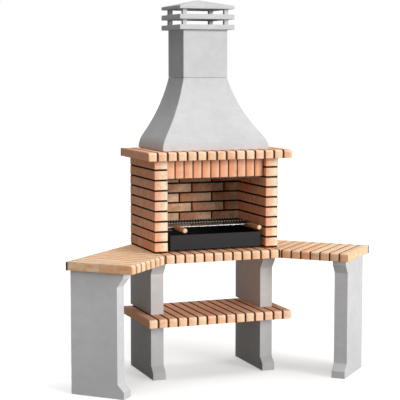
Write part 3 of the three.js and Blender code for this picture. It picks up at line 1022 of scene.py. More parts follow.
def loft(rings: Sequence[Sequence[Point]], ends: Ends) -> Solid:
    """Skins rings of the same number of points.

    Args:
        rings: The rings in order.
        ends: How the first and the last ring are closed.

    Returns:
        The closed solid.
    """
    bm = bmesh.new()
    made = [[bm.verts.new(p) for p in ring] for ring in rings]
    pairs = list(zip(made, made[1:]))
    if ends is Ends.LOOPED:
        pairs.append((made[-1], made[0]))
    else:
        bm.faces.new(list(reversed(made[0])))
        bm.faces.new(made[-1])
    for a, b in pairs:
        for i, j in round_trip(len(a)):
            bm.faces.new((a[i], a[j], b[j], b[i]))
    bmesh.ops.recalc_face_normals(bm, faces=bm.faces)
    return bm


def rounded_ring(
    across: Span, along: Span, radius: float, level: float, faces: int = 3
) -> list[Point]:
    """A level rectangle with round corners.

    Args:
        across: Its ends in x.
        along: Its ends in y.
        radius: The radius of its corners.
        level: Its height.
        faces: How many faces turn each corner.

    Returns:
        Its points, anticlockwise from above.
    """
    turns = [
        (across[1] - radius, along[1] - radius, 0.0),
        (across[0] + radius, along[1] - radius, math.pi / 2),
        (across[0] + radius, along[0] + radius, math.pi),
        (across[1] - radius, along[0] + radius, math.pi * 1.5),
    ]
    points = []
    for x, y, start in turns:
        for angle in angles(start, math.pi / 2, faces):
            points.append((x + radius * math.cos(angle), y + radius * math.sin(angle), level))
    return points


def circle(middle: Vector, beside: Vector, above: Vector, sides: int) -> list[Point]:
    """The corners of a ring round a point, given the ways to its first one and a quarter on."""
    turns = angles(0.0, math.tau, sides)[:-1]
    return [tuple(middle + beside * math.cos(a) + above * math.sin(a)) for a in turns]


def inset(span: Span, margin: float) -> Span:
    """A span made shorter by a margin at both ends, or longer by one below 0."""
    return span[0] + margin, span[1] - margin


def mirrored(span: Span, side: int) -> Span:
    """A span, or its mirror image on side -1."""
    return span if side > 0 else (-span[1], -span[0])


def soften(bm: Solid, width: float, segments: int = 2) -> Solid:
    """Rounds every sharp arris.

    Args:
        bm: The solid.
        width: How wide the rounding is.
        segments: How many faces it has.

    Returns:
        The same solid.
    """
    sharp = [e for e in bm.edges if e.calc_face_angle(0.0) > SHARP_ANGLE]
    shape = {"offset_type": "OFFSET", "segments": segments, "profile": ROUNDING_PROFILE}
    bmesh.ops.bevel(bm, geom=sharp, offset=width, affect="EDGES", clamp_overlap=True, **shape)
    return bm


def weather(bm: Solid, wear: Wear, seed: float) -> Solid:
    """Wears a surface back unevenly, never outwards.

    Args:
        bm: The solid.
        wear: How it is worn.
        seed: Moves the pattern from one piece to the next.

    Returns:
        The same solid.
    """
    bm.normal_update()
    shift = Vector([seed * step for step in WEAR_SHIFT])
    for v in bm.verts:
        dip = 0.5 + 0.5 * noise.noise(v.co / wear.size + shift)
        v.co -= v.normal * wear.depth * min(1.0, max(0.0, dip))
    return bm


class Finishes:
    """Makes each finish once and hands it out by its name."""

    def __init__(self) -> None:
        """Starts with none made."""
        self._made: dict[str, bpy.types.Material] = {}

    def of(self, finish: Finish) -> bpy.types.Material:
        """The material of a finish, made when it is first asked for.

        Args:
            finish: The finish.

        Returns:
            Its material.
        """
        if finish.name not in self._made:
            self._made[finish.name] = finish.material()
        return self._made[finish.name]

    def dress(self, node: str, finish: Finish) -> None:
        """Gives a CAD node's slots a finish.

        Args:
            node: The node's name.
            finish: The finish.
        """
        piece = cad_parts[node]
        for slot in piece.material_slots:
            slot.material = self.of(finish)
        LOG.info("%s: CAD solid with %s", node, finish.name)


class Heap:
    """Gathers solids into one piece, and keeps for each corner where it lies in its own brick."""

    def __init__(self, name: str, body: str = "masonry") -> None:
        """Starts an empty heap.

        Args:
            name: The name of the piece that it becomes.
            body: The CAD body that the piece rides on.
        """
        self.name = name
        self.body = body
        self.points: list[Point] = []
        self.faces: list[tuple[int, ...]] = []
        self.paints: list[int] = []
        self.seeds: list[float] = []
        self.lows: list[Point] = []
        self.highs: list[Point] = []

    def put(
        self,
        bm: Solid,
        place: Matrix,
        seed: float = PLAIN_SEED,
        paint: int = MAIN_COAT,
        box: Union[tuple[Vector, Vector], None] = None,
    ) -> None:
        """Adds one solid and frees it.

        Args:
            bm: The solid, in its own frame.
            place: Where its frame is.
            seed: The number that sets it apart.
            paint: Which of the piece's materials it has.
            box: The corners of the whole brick, where the solid is only a part of it.
        """
        corners = [v.co.copy() for v in bm.verts]
        if box is None:
            box = tuple(Vector(map(end, zip(*corners))) for end in (min, max))
        first = len(self.points)
        bm.verts.index_update()
        self.points.extend(tuple(place @ c) for c in corners)
        self.seeds.extend([seed] * len(corners))
        self.lows.extend(tuple(c - box[0]) for c in corners)
        self.highs.extend(tuple(box[1] - c) for c in corners)
        for face in bm.faces:
            self.faces.append(tuple(first + v.index for v in face.verts))
            self.paints.append(paint + face.material_index)
        bm.free()

    def piece(
        self, finishes: Finishes, coats: Sequence[Finish], slot: str, *stands_for: str
    ) -> None:
        """Turns the heap into a dressed piece on its body.

        Args:
            finishes: The finishes.
            coats: Its own ones in order.
            slot: The record's slot for the main one; not used.
            *stands_for: The CAD nodes that it is shown for.
        """
        mesh = bpy.data.meshes.new(self.name)
        mesh.from_pydata(self.points, [], self.faces)
        for coat in coats:
            mesh.materials.append(finishes.of(coat))
        mesh.polygons.foreach_set("material_index", self.paints)
        mesh.polygons.foreach_set("use_smooth", [True] * len(self.faces))
        mesh.attributes.new("seed", "FLOAT", "POINT").data.foreach_set("value", self.seeds)
        for name, rows in (("from_low", self.lows), ("from_high", self.highs)):
            layer = mesh.attributes.new(name, "FLOAT_VECTOR", "POINT")
            layer.data.foreach_set("vector", [n for row in rows for n in row])
        mesh.validate()
        piece = add_object(self.name, mesh)
        weighted = piece.modifiers.new("even_faces", "WEIGHTED_NORMAL")
        weighted.keep_sharp = True
        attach(piece, self.body)
        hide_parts(*stands_for)
        LOG.info("%s: %d faces on %s", self.name, len(self.faces), self.body)


@dataclass
class Assembly:
    """A sub-assembly that builds its own meshes and dresses them.

    Attributes:
        finishes: The finishes.
        place: Its frame in the model.
    """

    finishes: Finishes
    place: Matrix


# Masonry


@dataclass
class Slab(Assembly):
    """A slab of brick slips on edge, with a rounded top front edge and joints between them.

    Attributes:
        name: What its CAD nodes start with.
        front: Its front.
        back: Its back.
        bottom: The level of its underside.
        starts: Where each slip starts across.
        joint: The width of a joint.
        brick: The finish of its slips.
        side: 1, or -1 for a slab that is the mirror image.
        cut: Where it is cut off across, in the masonry's frame, or 0.
        hole: Across and along of an opening in it, or None.
        split: True if its outermost slip is laid as two bricks end to end.
        width: The width of a slip.
        thickness: Its height.
        nose: The radius of its top front edge.
        nose_faces: The faces of that edge.
        top_pitch: About how far apart the corners along its top are.
        spine: The mortar behind the slips.
        web: The height of the filling in the joints.
        web_room: How far it stays over the underside.
        shortest_web: The shortest length of it.
        open_run: How far the joints are open at the front.
        groove: The width and height of the grooves for the bars.
        front_bar: How far the front bar lies behind the front.
        back_bar: How far the back bar lies before the back.
        split_gap: Half the gap between two bricks end to end.
        arris: The rounding of the slips' edges.
        wear: How the slips are worn.
        upright: How squarely a face looks aside where mortar clings to it.
    """

    name: str
    front: float
    back: float
    bottom: float
    starts: Sequence[float]
    joint: float
    brick: Brick
    side: int = 1
    cut: float = 0.0
    hole: Union[tuple[Span, Span], None] = None
    split: bool = False
    width: float = 0.05
    thickness: float = 0.05
    nose: float = 0.013
    nose_faces: int = 7
    top_pitch: float = 0.03
    spine: float = 0.0103
    web: float = 0.015
    web_room: float = 0.0006
    shortest_web: float = 0.002
    open_run: float = 0.04
    groove: float = 0.0106
    front_bar: float = 0.095
    back_bar: float = 0.025
    split_gap: float = 0.0004
    arris: float = 0.0022
    wear: Wear = Wear(0.0009, 0.02)
    upright: float = 0.8

    def grooves(self) -> list[Span]:
        """The near and far side of the groove of each bar."""
        middles = (self.front + self.front_bar, self.back - self.back_bar)
        return [inset((y, y), -self.groove / 2) for y in middles]

    def outline(self, near: float, far: float, grooved: bool) -> list[Flat]:
        """The side outline of a slip.

        Args:
            near: Its front.
            far: Its back.
            grooved: True if the reinforcing bars pass under it.

        Returns:
            Points (y, z) from the back of the underside, round the front to the top.
        """
        top = self.bottom + self.thickness
        level = self.bottom + self.groove
        points = [(far, self.bottom)]
        for low, high in reversed(self.grooves()) if grooved else ():
            if near < low and high < far:
                points += [(high, self.bottom), (high, level), (low, level), (low, self.bottom)]
        points.append((near, self.bottom))
        if near == self.front:
            start = near + self.nose
            for angle in angles(math.pi, -math.pi / 2, self.nose_faces):
                points.append((
                    start + self.nose * math.cos(angle),
                    top - self.nose + self.nose * math.sin(angle),
                ))
        else:
            start = near
            points.append((near, top))
        runs = max(1, round((far - start) / self.top_pitch))
        points += [(start + (far - start) * i / runs, top) for i in range(1, runs + 1)]
        return points

    def round_hole(self, across: Span, along: Span) -> list[Span]:
        """The lengths of a strip on both sides of the opening, where the strip meets it.

        Args:
            across: The strip's sides.
            along: Its ends.

        Returns:
            The near and far end of each length.
        """
        if self.hole:
            (left, right), (near, far) = self.hole
            if across[0] < right and across[1] > left:
                return [(along[0], min(along[1], near)), (max(along[0], far), along[1])]
        return [along]

    def runs(self, x: float) -> list[Span]:
        """Where a slip lies along the slab, in one or more lengths.

        Args:
            x: Where it starts across.

        Returns:
            The near and far end of each length.
        """
        far = self.back - self.spine
        if self.split and x == max(self.starts):
            middle = (self.front + far) / 2
            return [(self.front, middle - self.split_gap), (middle + self.split_gap, far)]
        return self.round_hole((x, x + self.width), (self.front, far))

    def across(self, x: float) -> Span:
        """Where a slip lies across, mirrored where the slab is."""
        return mirrored((x, x + self.width), self.side)

    def trimmed(self, bm: Solid) -> Solid:
        """Cuts a solid off at the junction with the worktop.

        Args:
            bm: The solid in the slab's frame.

        Returns:
            The same solid.
        """
        if not self.cut:
            return bm
        inwards = self.place.inverted()
        where = inwards @ Vector((self.cut, 0.0, self.bottom))
        normal = inwards.to_3x3() @ Vector((math.copysign(1.0, self.cut), 0.0, 0.0))
        geometry = [*bm.verts, *bm.edges, *bm.faces]
        made = bmesh.ops.bisect_plane(
            bm, geom=geometry, dist=CUT_TOLERANCE, plane_co=where, plane_no=normal, clear_inner=True
        )
        rim = [e for e in made["geom_cut"] if isinstance(e, bmesh.types.BMEdge)]
        if rim:
            bmesh.ops.edgenet_fill(bm, edges=rim)
            bmesh.ops.recalc_face_normals(bm, faces=bm.faces)
        return bm

    def pieces_of(self, heap: Heap, x: float) -> None:
        """Puts one slip, and the joint filling beside it, on the heap.

        Args:
            heap: The heap.
            x: Where the slip starts.
        """
        ends = (min(self.starts), max(self.starts))
        grooved = x not in ends or (self.cut != 0.0 and x == ends[0])
        for near, far in self.runs(x):
            seed = random_for(self.name, x, near).random()
            bm = self.trimmed(prism(self.outline(near, far, grooved), self.across(x)))
            if not bm.faces:
                bm.free()
                continue
            weather(soften(bm, self.arris), self.wear, seed)
            for face in bm.faces if not self.cut else ():
                aside = face.normal.x
                if abs(aside) > self.upright and x != ends[1 if aside > 0 else 0]:
                    face.material_index = SECOND_COAT
            level = (self.bottom, self.bottom + self.thickness)
            low, high = (Vector(end) for end in zip(self.across(x), (near, far), level))
            heap.put(bm, self.place, seed, box=(low, high))
        if x > ends[0]:
            self.fill(heap, x - self.joint, x)

    def fill(self, heap: Heap, low: float, high: float) -> None:
        """Puts the joint's bottom filling on the heap, clear of the bars.

        Args:
            heap: The heap.
            low: Where the joint starts across.
            high: Where it ends across.
        """
        stops = [self.front + self.open_run]
        for sides in self.grooves():
            stops += sides
        stops.append(self.back - self.spine)
        lengths = [
            length
            for along in zip(stops[::2], stops[1::2])
            for length in self.round_hole((low, high), along)
        ]
        span = mirrored((low, high), self.side)
        level = (self.bottom + self.web_room, self.bottom + self.web)
        for near, far in lengths:
            if far - near < self.shortest_web:
                continue
            bm = self.trimmed(brick_form(span, (near, far), level, FILLING_PITCH))
            if bm.faces:
                heap.put(bm, self.place, paint=SECOND_COAT)
            else:
                bm.free()

    def build(self) -> None:
        """Builds the slips and dresses the mortar and the bars."""
        heap = Heap(f"{self.name}_brick_slips")
        for x in sorted(self.starts):
            self.pieces_of(heap, x)
        heap.piece(self.finishes, [self.brick, SLIP_JOINT], "brick", f"{self.name}_slips")
        self.finishes.dress(f"{self.name}_mortar", SLIP_JOINT)
        self.finishes.dress(f"{self.name}_front_bar", DARK_STEEL)
        self.finishes.dress(f"{self.name}_back_bar", DARK_STEEL)


@dataclass
class Firebox(Assembly):
    """Side walls, back panel and soldier course over the opening.

    Attributes:
        inner_half: Half the width between the side walls.
        wall: The thickness of a side wall.
        depth: From the front of the walls to the back.
        panel: The thickness of the back panel.
        bottom: The top of the worktop.
        brick: The height of a brick.
        joint: The width of the panel's joints, and of all bed joints.
        courses: How many courses there are.
        bond: From one upright joint of the panel to the next.
        stagger: How far every second course is shifted.
        least_slip: How near to a wall such a joint may come.
        butts: Where two bricks of a wall meet, as shares of its depth, in turn.
        butt_gap: Half the gap there.
        soldiers: How many soldiers there are.
        soldier_half: Half the width of their course.
        soldier_joint: The gap between two of them.
        soldier_front: Their front.
        soldier_depth: Their depth.
        soldier_bottom: The level of their lower ends.
        soldier_recess: How far back the mortar between them lies.
        pointing: How far back the mortar of the panel lies.
        core_room: How far mortar stays inside what is round it.
        arris: The rounding of the bricks' edges.
        wear: How the bricks are worn.
    """

    inner_half: float = 0.31
    wall: float = 0.08
    depth: float = 0.462
    panel: float = 0.03
    bottom: float = 0.7605
    brick: float = 0.05
    joint: float = 0.01
    courses: int = 9
    bond: float = 0.215
    stagger: float = 0.082
    least_slip: float = 0.04
    butts: tuple[float, float] = (0.48, 0.5)
    butt_gap: float = 0.0005
    soldiers: int = 11
    soldier_half: float = 0.305
    soldier_joint: float = 0.006
    soldier_front: float = 0.035
    soldier_depth: float = 0.08
    soldier_bottom: float = 1.1905
    soldier_recess: float = 0.0252
    pointing: float = 0.0102
    core_room: float = 0.0005
    arris: float = 0.002
    wear: Wear = Wear(0.0008, 0.025)

    def level(self, course: int) -> Span:
        """The underside and the top of a course."""
        low = self.bottom + course * (self.brick + self.joint) + self.joint
        return low, low + self.brick

    def lay(self, heap: Heap, across: Span, along: Span, level: Span, seed: float) -> None:
        """Puts one brick on a heap.

        Args:
            heap: The heap.
            across: Its ends in x.
            along: Its ends in y.
            level: Its underside and top.
            seed: The number that sets it apart.
        """
        bm = weather(soften(brick_form(across, along, level), self.arris), self.wear, seed)
        low, high = (Vector(end) for end in zip(across, along, level))
        heap.put(bm, self.place, seed, box=(low, high))

    def build_wall(self, side: int, label: str) -> None:
        """Builds one side wall, of two bricks to the course.

        Args:
            side: 1 for the right, -1 for the left.
            label: The name of the side.
        """
        heap = Heap(f"{label}_wall_bricks")
        across = mirrored((self.inner_half, self.inner_half + self.wall), side)
        for course in range(self.courses):
            chance = random_for(label, course)
            middle = self.depth * self.butts[course % 2]
            for along in (
                (0.0, middle - self.butt_gap), (middle + self.butt_gap, self.depth)
            ):
                self.lay(heap, across, along, self.level(course), chance.random())
        nodes = [f"{label}_wall_course_{c + 1}" for c in range(self.courses)]
        heap.piece(self.finishes, [WALL_BRICK], "brick", *nodes)

    def upright_joints(self, course: int) -> list[float]:
        """Where the upright joints of a course of the back panel are.

        Args:
            course: The number of the course.

        Returns:
            Their middles.
        """
        shift = -self.stagger if course % 2 == 0 else 0.0
        reach = math.ceil(self.inner_half / self.bond) + 1
        places = [shift + i * self.bond for i in range(-reach, reach + 1)]
        return [x for x in places if abs(x) < self.inner_half - self.least_slip]

    def build_panel(self) -> None:
        """Builds the back panel, with a thin core behind its joints."""
        heap = Heap("back_panel_brick_slips")
        front = self.depth - self.panel
        for course in range(self.courses):
            ends = [-self.inner_half]
            for x in self.upright_joints(course):
                ends += [x - self.joint / 2, x + self.joint / 2]
            ends.append(self.inner_half)
            for low, high in zip(ends[::2], ends[1::2]):
                seed = random_for("panel", course, low).random()
                self.lay(heap, (low, high), (front, self.depth), self.level(course), seed)
        core = brick_form(
            inset((-self.inner_half, self.inner_half), self.core_room),
            inset((front, self.depth), self.pointing),
            inset((self.bottom, self.level(self.courses - 1)[1]), self.core_room),
            FILLING_PITCH,
        )
        heap.put(core, self.place, paint=SECOND_COAT)
        heap.piece(self.finishes, [BACK_SHADED_BRICK, WALL_JOINT], "brick", "back_panel_bricks")

    def build_soldiers(self) -> None:
        """Builds the soldier course."""
        heap = Heap("lintel_soldier_bricks")
        pitch = (2 * self.soldier_half + self.soldier_joint) / self.soldiers
        level = (self.soldier_bottom, self.level(self.courses - 1)[1])
        along = (self.soldier_front, self.soldier_front + self.soldier_depth)
        for i in range(self.soldiers):
            low = -self.soldier_half + i * pitch
            seed = random_for("soldier", i).random()
            across = (low, low + pitch - self.soldier_joint)
            self.lay(heap, across, along, level, seed)
            if i:
                core = brick_form(
                    (low - self.soldier_joint, low),
                    inset(along, self.soldier_recess),
                    inset(level, self.core_room),
                    FILLING_PITCH,
                )
                heap.put(core, self.place, paint=SECOND_COAT)
        heap.piece(self.finishes, [SOLDIER_BRICK, WALL_JOINT], "brick", "lintel_soldiers")

    def build(self) -> None:
        """Builds and dresses the whole firebox."""
        self.build_wall(-1, "left")
        self.build_wall(1, "right")
        self.build_panel()
        self.build_soldiers()
        self.finishes.dress("firebox_mortar", WALL_JOINT)
        for node in ("lintel_bar", "left_grill_ledge", "right_grill_ledge"):
            self.finishes.dress(node, DARK_STEEL)


@dataclass
class Leg(Assembly):
    """A cast leg that stands out at the front of its foot, its head or both.

    Attributes:
        node: Its CAD node.
        across: Its ends in x, in its own frame.
        front: The front of its foot or head.
        back: Its back.
        level: Its underside and top.
        foot: True if it has a foot.
        head: True if it has a head.
        cast: The finish of its concrete.
        flare: How far foot and head stand out before the shaft.
        foot_straight: The height of the foot's upright front.
        foot_slope: The height of the slope above it.
        head_straight: The height of the head's upright front.
        head_slope: The height of the slope below it.
        arris: The rounding of its edges.
        arris_faces: How many faces turn each edge.
        wear: How it is worn.
    """

    node: str
    across: Span
    front: float
    back: float
    level: Span
    foot: bool
    head: bool
    cast: Concrete
    flare: float = 0.039
    foot_straight: float = 0.042
    foot_slope: float = 0.04
    head_straight: float = 0.032
    head_slope: float = 0.052
    arris: float = 0.0025
    arris_faces: int = 3
    wear: Wear = Wear(0.0009, 0.05)

    def outline(self) -> list[Flat]:
        """The leg's side outline.

        Returns:
            Points (y, z) from the back of the underside, round the front to the top.
        """
        bottom, top = self.level
        shaft = self.front + self.flare
        points = [(self.back, bottom)]
        if self.foot:
            points += [
                (self.front, bottom),
                (self.front, bottom + self.foot_straight),
                (shaft, bottom + self.foot_straight + self.foot_slope),
            ]
        else:
            points.append((shaft, bottom))
        if self.head:
            points += [
                (shaft, top - self.head_straight - self.head_slope),
                (self.front, top - self.head_straight),
                (self.front, top),
            ]
        else:
            points.append((shaft, top))
        points.append((self.back, top))
        return points

    def build(self) -> None:
        """Builds and dresses the leg."""
        seed = random_for(self.node).random()
        bm = soften(prism(self.outline(), self.across), self.arris, self.arris_faces)
        heap = Heap(f"{self.node}_casting")
        heap.put(weather(bm, self.wear, seed), self.place, seed)
        heap.piece(self.finishes, [self.cast], "concrete", self.node)


# Chimney


@dataclass
class Chimney(Assembly):
    """Hood, flue and slatted cap, all cast in concrete.

    Attributes:
        base_half: Half the hood's width at its foot.
        top_half: Half its width at the flue.
        base_front: The front of its foot.
        top_front: The front of the flue.
        back: The back of both.
        bottom: The level of the hood's underside.
        height: The height of its curve.
        collar: The height of the upright collar over that.
        toe_radius: The radius of the curve at its foot.
        lean: How far its straight run leans in.
        straight: The length of the straight run.
        curve_faces: The faces of each curve.
        hood_wall: The hood's thickness.
        flue_height: The flue's height.
        flue_wall: Its thickness.
        overhang: How far the cap stands out from it.
        slab: The height of each ring of the cap.
        gap: The height of the gaps between them.
        post: The width of a post.
        post_proud: How far it stands out from the flue.
        post_sunk: How deep it stands in the ring.
        post_arris: The rounding of its edges.
        rim: The height of the pyramid's upright edge.
        lip: How far the rounding of that edge rises inwards.
        rise: The height of the pyramid over it.
        flat: The width of the flat on top.
        slope_faces: The faces of its slope.
        arris: The rounding of the edges.
        corner: The rounding of the upright corners.
        hood_bore_corner: The same inside the hood.
        flue_bore_corner: The same inside the flue and the rings.
        hood_wear: How the hood is worn.
        flue_wear: How the flue is worn.
        ring_wear: How the rings are worn.
        pyramid_wear: How the pyramid is worn.
        hood_seed: What sets the hood's wear apart.
        flue_seed: What sets the flue's wear apart.
        pyramid_seed: What sets the pyramid's wear apart.
    """

    base_half: float = 0.336
    top_half: float = 0.141
    base_front: float = 0.011
    top_front: float = 0.197
    back: float = 0.467
    bottom: float = 1.3515
    height: float = 0.419
    collar: float = 0.005
    toe_radius: float = 0.132
    lean: float = math.radians(35.0)
    straight: float = 0.058
    curve_faces: int = 18
    hood_wall: float = 0.026
    flue_height: float = 0.284
    flue_wall: float = 0.028
    overhang: float = 0.033
    slab: float = 0.03
    gap: float = 0.031
    post: float = 0.026
    post_proud: float = 0.004
    post_sunk: float = 0.004
    post_arris: float = 0.0015
    rim: float = 0.02
    lip: float = 0.0003
    rise: float = 0.037
    flat: float = 0.016
    slope_faces: int = 8
    arris: float = 0.002
    corner: float = 0.004
    hood_bore_corner: float = 0.002
    flue_bore_corner: float = 0.003
    hood_wear: Wear = Wear(0.0008, 0.09)
    flue_wear: Wear = Wear(0.0007, 0.07)
    ring_wear: Wear = Wear(0.0006, 0.05)
    pyramid_wear: Wear = Wear(0.0005, 0.06)
    hood_seed: float = 0.3
    flue_seed: float = 0.6
    pyramid_seed: float = 0.2

    def flue_bottom(self) -> float:
        """The level where the hood ends and the flue begins."""
        return self.bottom + self.height + self.collar

    def profile(self) -> list[Flat]:
        """The hood's outline: a toe that leans in, a straight run and a neck that turns up.

        Returns:
            The share of the way out from the flue to the base, and the height, of each level.
        """
        reach = self.base_half - self.top_half
        toe = [
            (self.toe_radius * (1 - math.cos(angle)), self.toe_radius * math.sin(angle))
            for angle in angles(0.0, self.lean, self.curve_faces)
        ]
        knee_in = toe[-1][0] + self.straight * math.sin(self.lean)
        knee_up = toe[-1][1] + self.straight * math.cos(self.lean)
        rest = (reach - knee_in, self.height - knee_up)
        turn = self.lean - math.atan2(*rest)
        radius = math.hypot(*rest) / (2 * math.sin(turn))
        neck = [
            (
                knee_in + radius * (math.cos(angle) - math.cos(self.lean)),
                knee_up + radius * (math.sin(self.lean) - math.sin(angle)),
            )
            for angle in angles(self.lean, -2 * turn, self.curve_faces)
        ]
        return [(1 - inwards / reach, up) for inwards, up in [*toe, *neck]]

    def hood_ring(self, share: float, level: float, margin: float) -> list[Point]:
        """One level of the hood.

        Args:
            share: The share of the way out from the flue to the base.
            level: Its height.
            margin: How far inside the outer face it is.

        Returns:
            Its points.
        """
        half = self.top_half + (self.base_half - self.top_half) * share - margin
        front = self.top_front + (self.base_front - self.top_front) * share + margin
        radius = self.corner if margin < self.hood_wall else self.hood_bore_corner
        return rounded_ring((-half, half), (front, self.back - margin), radius, level)

    def build_hood(self) -> None:
        """Builds the hollow hood."""
        levels = [(share, self.bottom + up) for share, up in self.profile()[1:]]
        top, soft, wall = self.flue_bottom(), self.arris, self.hood_wall
        rings = [
            self.hood_ring(1.0, self.bottom, soft),
            self.hood_ring(1.0, self.bottom + soft, 0.0),
            *[self.hood_ring(share, z, 0.0) for share, z in levels],
            self.hood_ring(0.0, top - soft, 0.0),
            self.hood_ring(0.0, top, soft),
            self.hood_ring(0.0, top, wall),
            *[self.hood_ring(share, z, wall) for share, z in reversed(levels)],
            self.hood_ring(1.0, self.bottom, wall),
        ]
        heap = Heap("hood_casting")
        heap.put(weather(loft(rings, Ends.LOOPED), self.hood_wear, self.hood_seed), self.place)
        heap.piece(self.finishes, [HOOD_SHADED_CAST], "concrete", "hood")

    def plan(self, margin: float) -> tuple[Span, Span]:
        """The flue's plan, grown by a margin."""
        half = self.top_half + margin
        return (-half, half), (self.top_front - margin, self.back + margin)

    def hollow(self, level: Span, margin: float) -> Solid:
        """A square tube or ring with rounded arrises and the flue's opening in it.

        Args:
            level: Its underside and top.
            margin: How far it stands out from the flue.

        Returns:
            The closed solid.
        """
        low, high = level
        soft = self.arris
        steps = ((low, soft), (low + soft, 0.0), (high - soft, 0.0), (high, soft))
        rings = []
        for z, inwards in steps:
            rings.append(rounded_ring(*self.plan(margin - inwards), self.corner, z))
        for z, outwards in reversed(steps):
            plan = self.plan(outwards - self.flue_wall)
            rings.append(rounded_ring(*plan, self.flue_bore_corner, z))
        return loft(rings, Ends.LOOPED)

    def build_flue(self) -> None:
        """Builds the flue."""
        low = self.flue_bottom()
        bm = self.hollow((low, low + self.flue_height), 0.0)
        heap = Heap("flue_casting")
        heap.put(weather(bm, self.flue_wear, self.flue_seed), self.place)
        heap.piece(self.finishes, [CAST], "concrete", "flue")

    def build_ring(self, low: float, node: str) -> None:
        """Builds one ring of the cap, with the four posts on it.

        Args:
            low: Its underside.
            node: Its CAD node.
        """
        heap = Heap(f"{node}_casting")
        top = low + self.slab
        heap.put(
            weather(self.hollow((low, top), self.overhang), self.ring_wear, low), self.place
        )
        (left, right), (front, back) = self.plan(self.post_proud)
        level = (top - self.post_sunk, top + self.gap)
        for x in ((left, left + self.post), (right - self.post, right)):
            for y in ((front, front + self.post), (back - self.post, back)):
                heap.put(
                    soften(brick_form(x, y, level, FILLING_PITCH), self.post_arris), self.place
                )
        heap.piece(self.finishes, [CAST], "concrete", node)

    def build_top(self, low: float) -> None:
        """Builds the pyramid on top.

        Args:
            low: Its underside.
        """
        soft = self.arris
        across, along = self.plan(self.overhang)
        rim = low + self.rim
        rings = [
            rounded_ring(inset(across, margin), inset(along, margin), self.corner, z)
            for z, margin in (
                (low, soft), (low + soft, 0.0), (rim - soft, 0.0), (rim + self.lip, soft)
            )
        ]
        for i in range(1, self.slope_faces + 1):
            share = i / self.slope_faces
            plan = [
                inset(span, ((span[1] - span[0]) / 2 - self.flat / 2) * share)
                for span in (across, along)
            ]
            rings.append(rounded_ring(*plan, self.corner, rim + self.rise * share))
        heap = Heap("cap_pyramid_casting")
        heap.put(
            weather(loft(rings, Ends.CAPPED), self.pyramid_wear, self.pyramid_seed), self.place
        )
        heap.piece(self.finishes, [CAST], "concrete", "cap_pyramid")

    def build(self) -> None:
        """Builds and dresses the whole chimney."""
        self.build_hood()
        self.build_flue()
        low = self.flue_bottom() + self.flue_height
        self.build_ring(low, "cap_lower_ring")
        low += self.slab + self.gap
        self.build_ring(low, "cap_middle_ring")
        self.build_top(low + self.slab + self.gap)


# Tray and grill


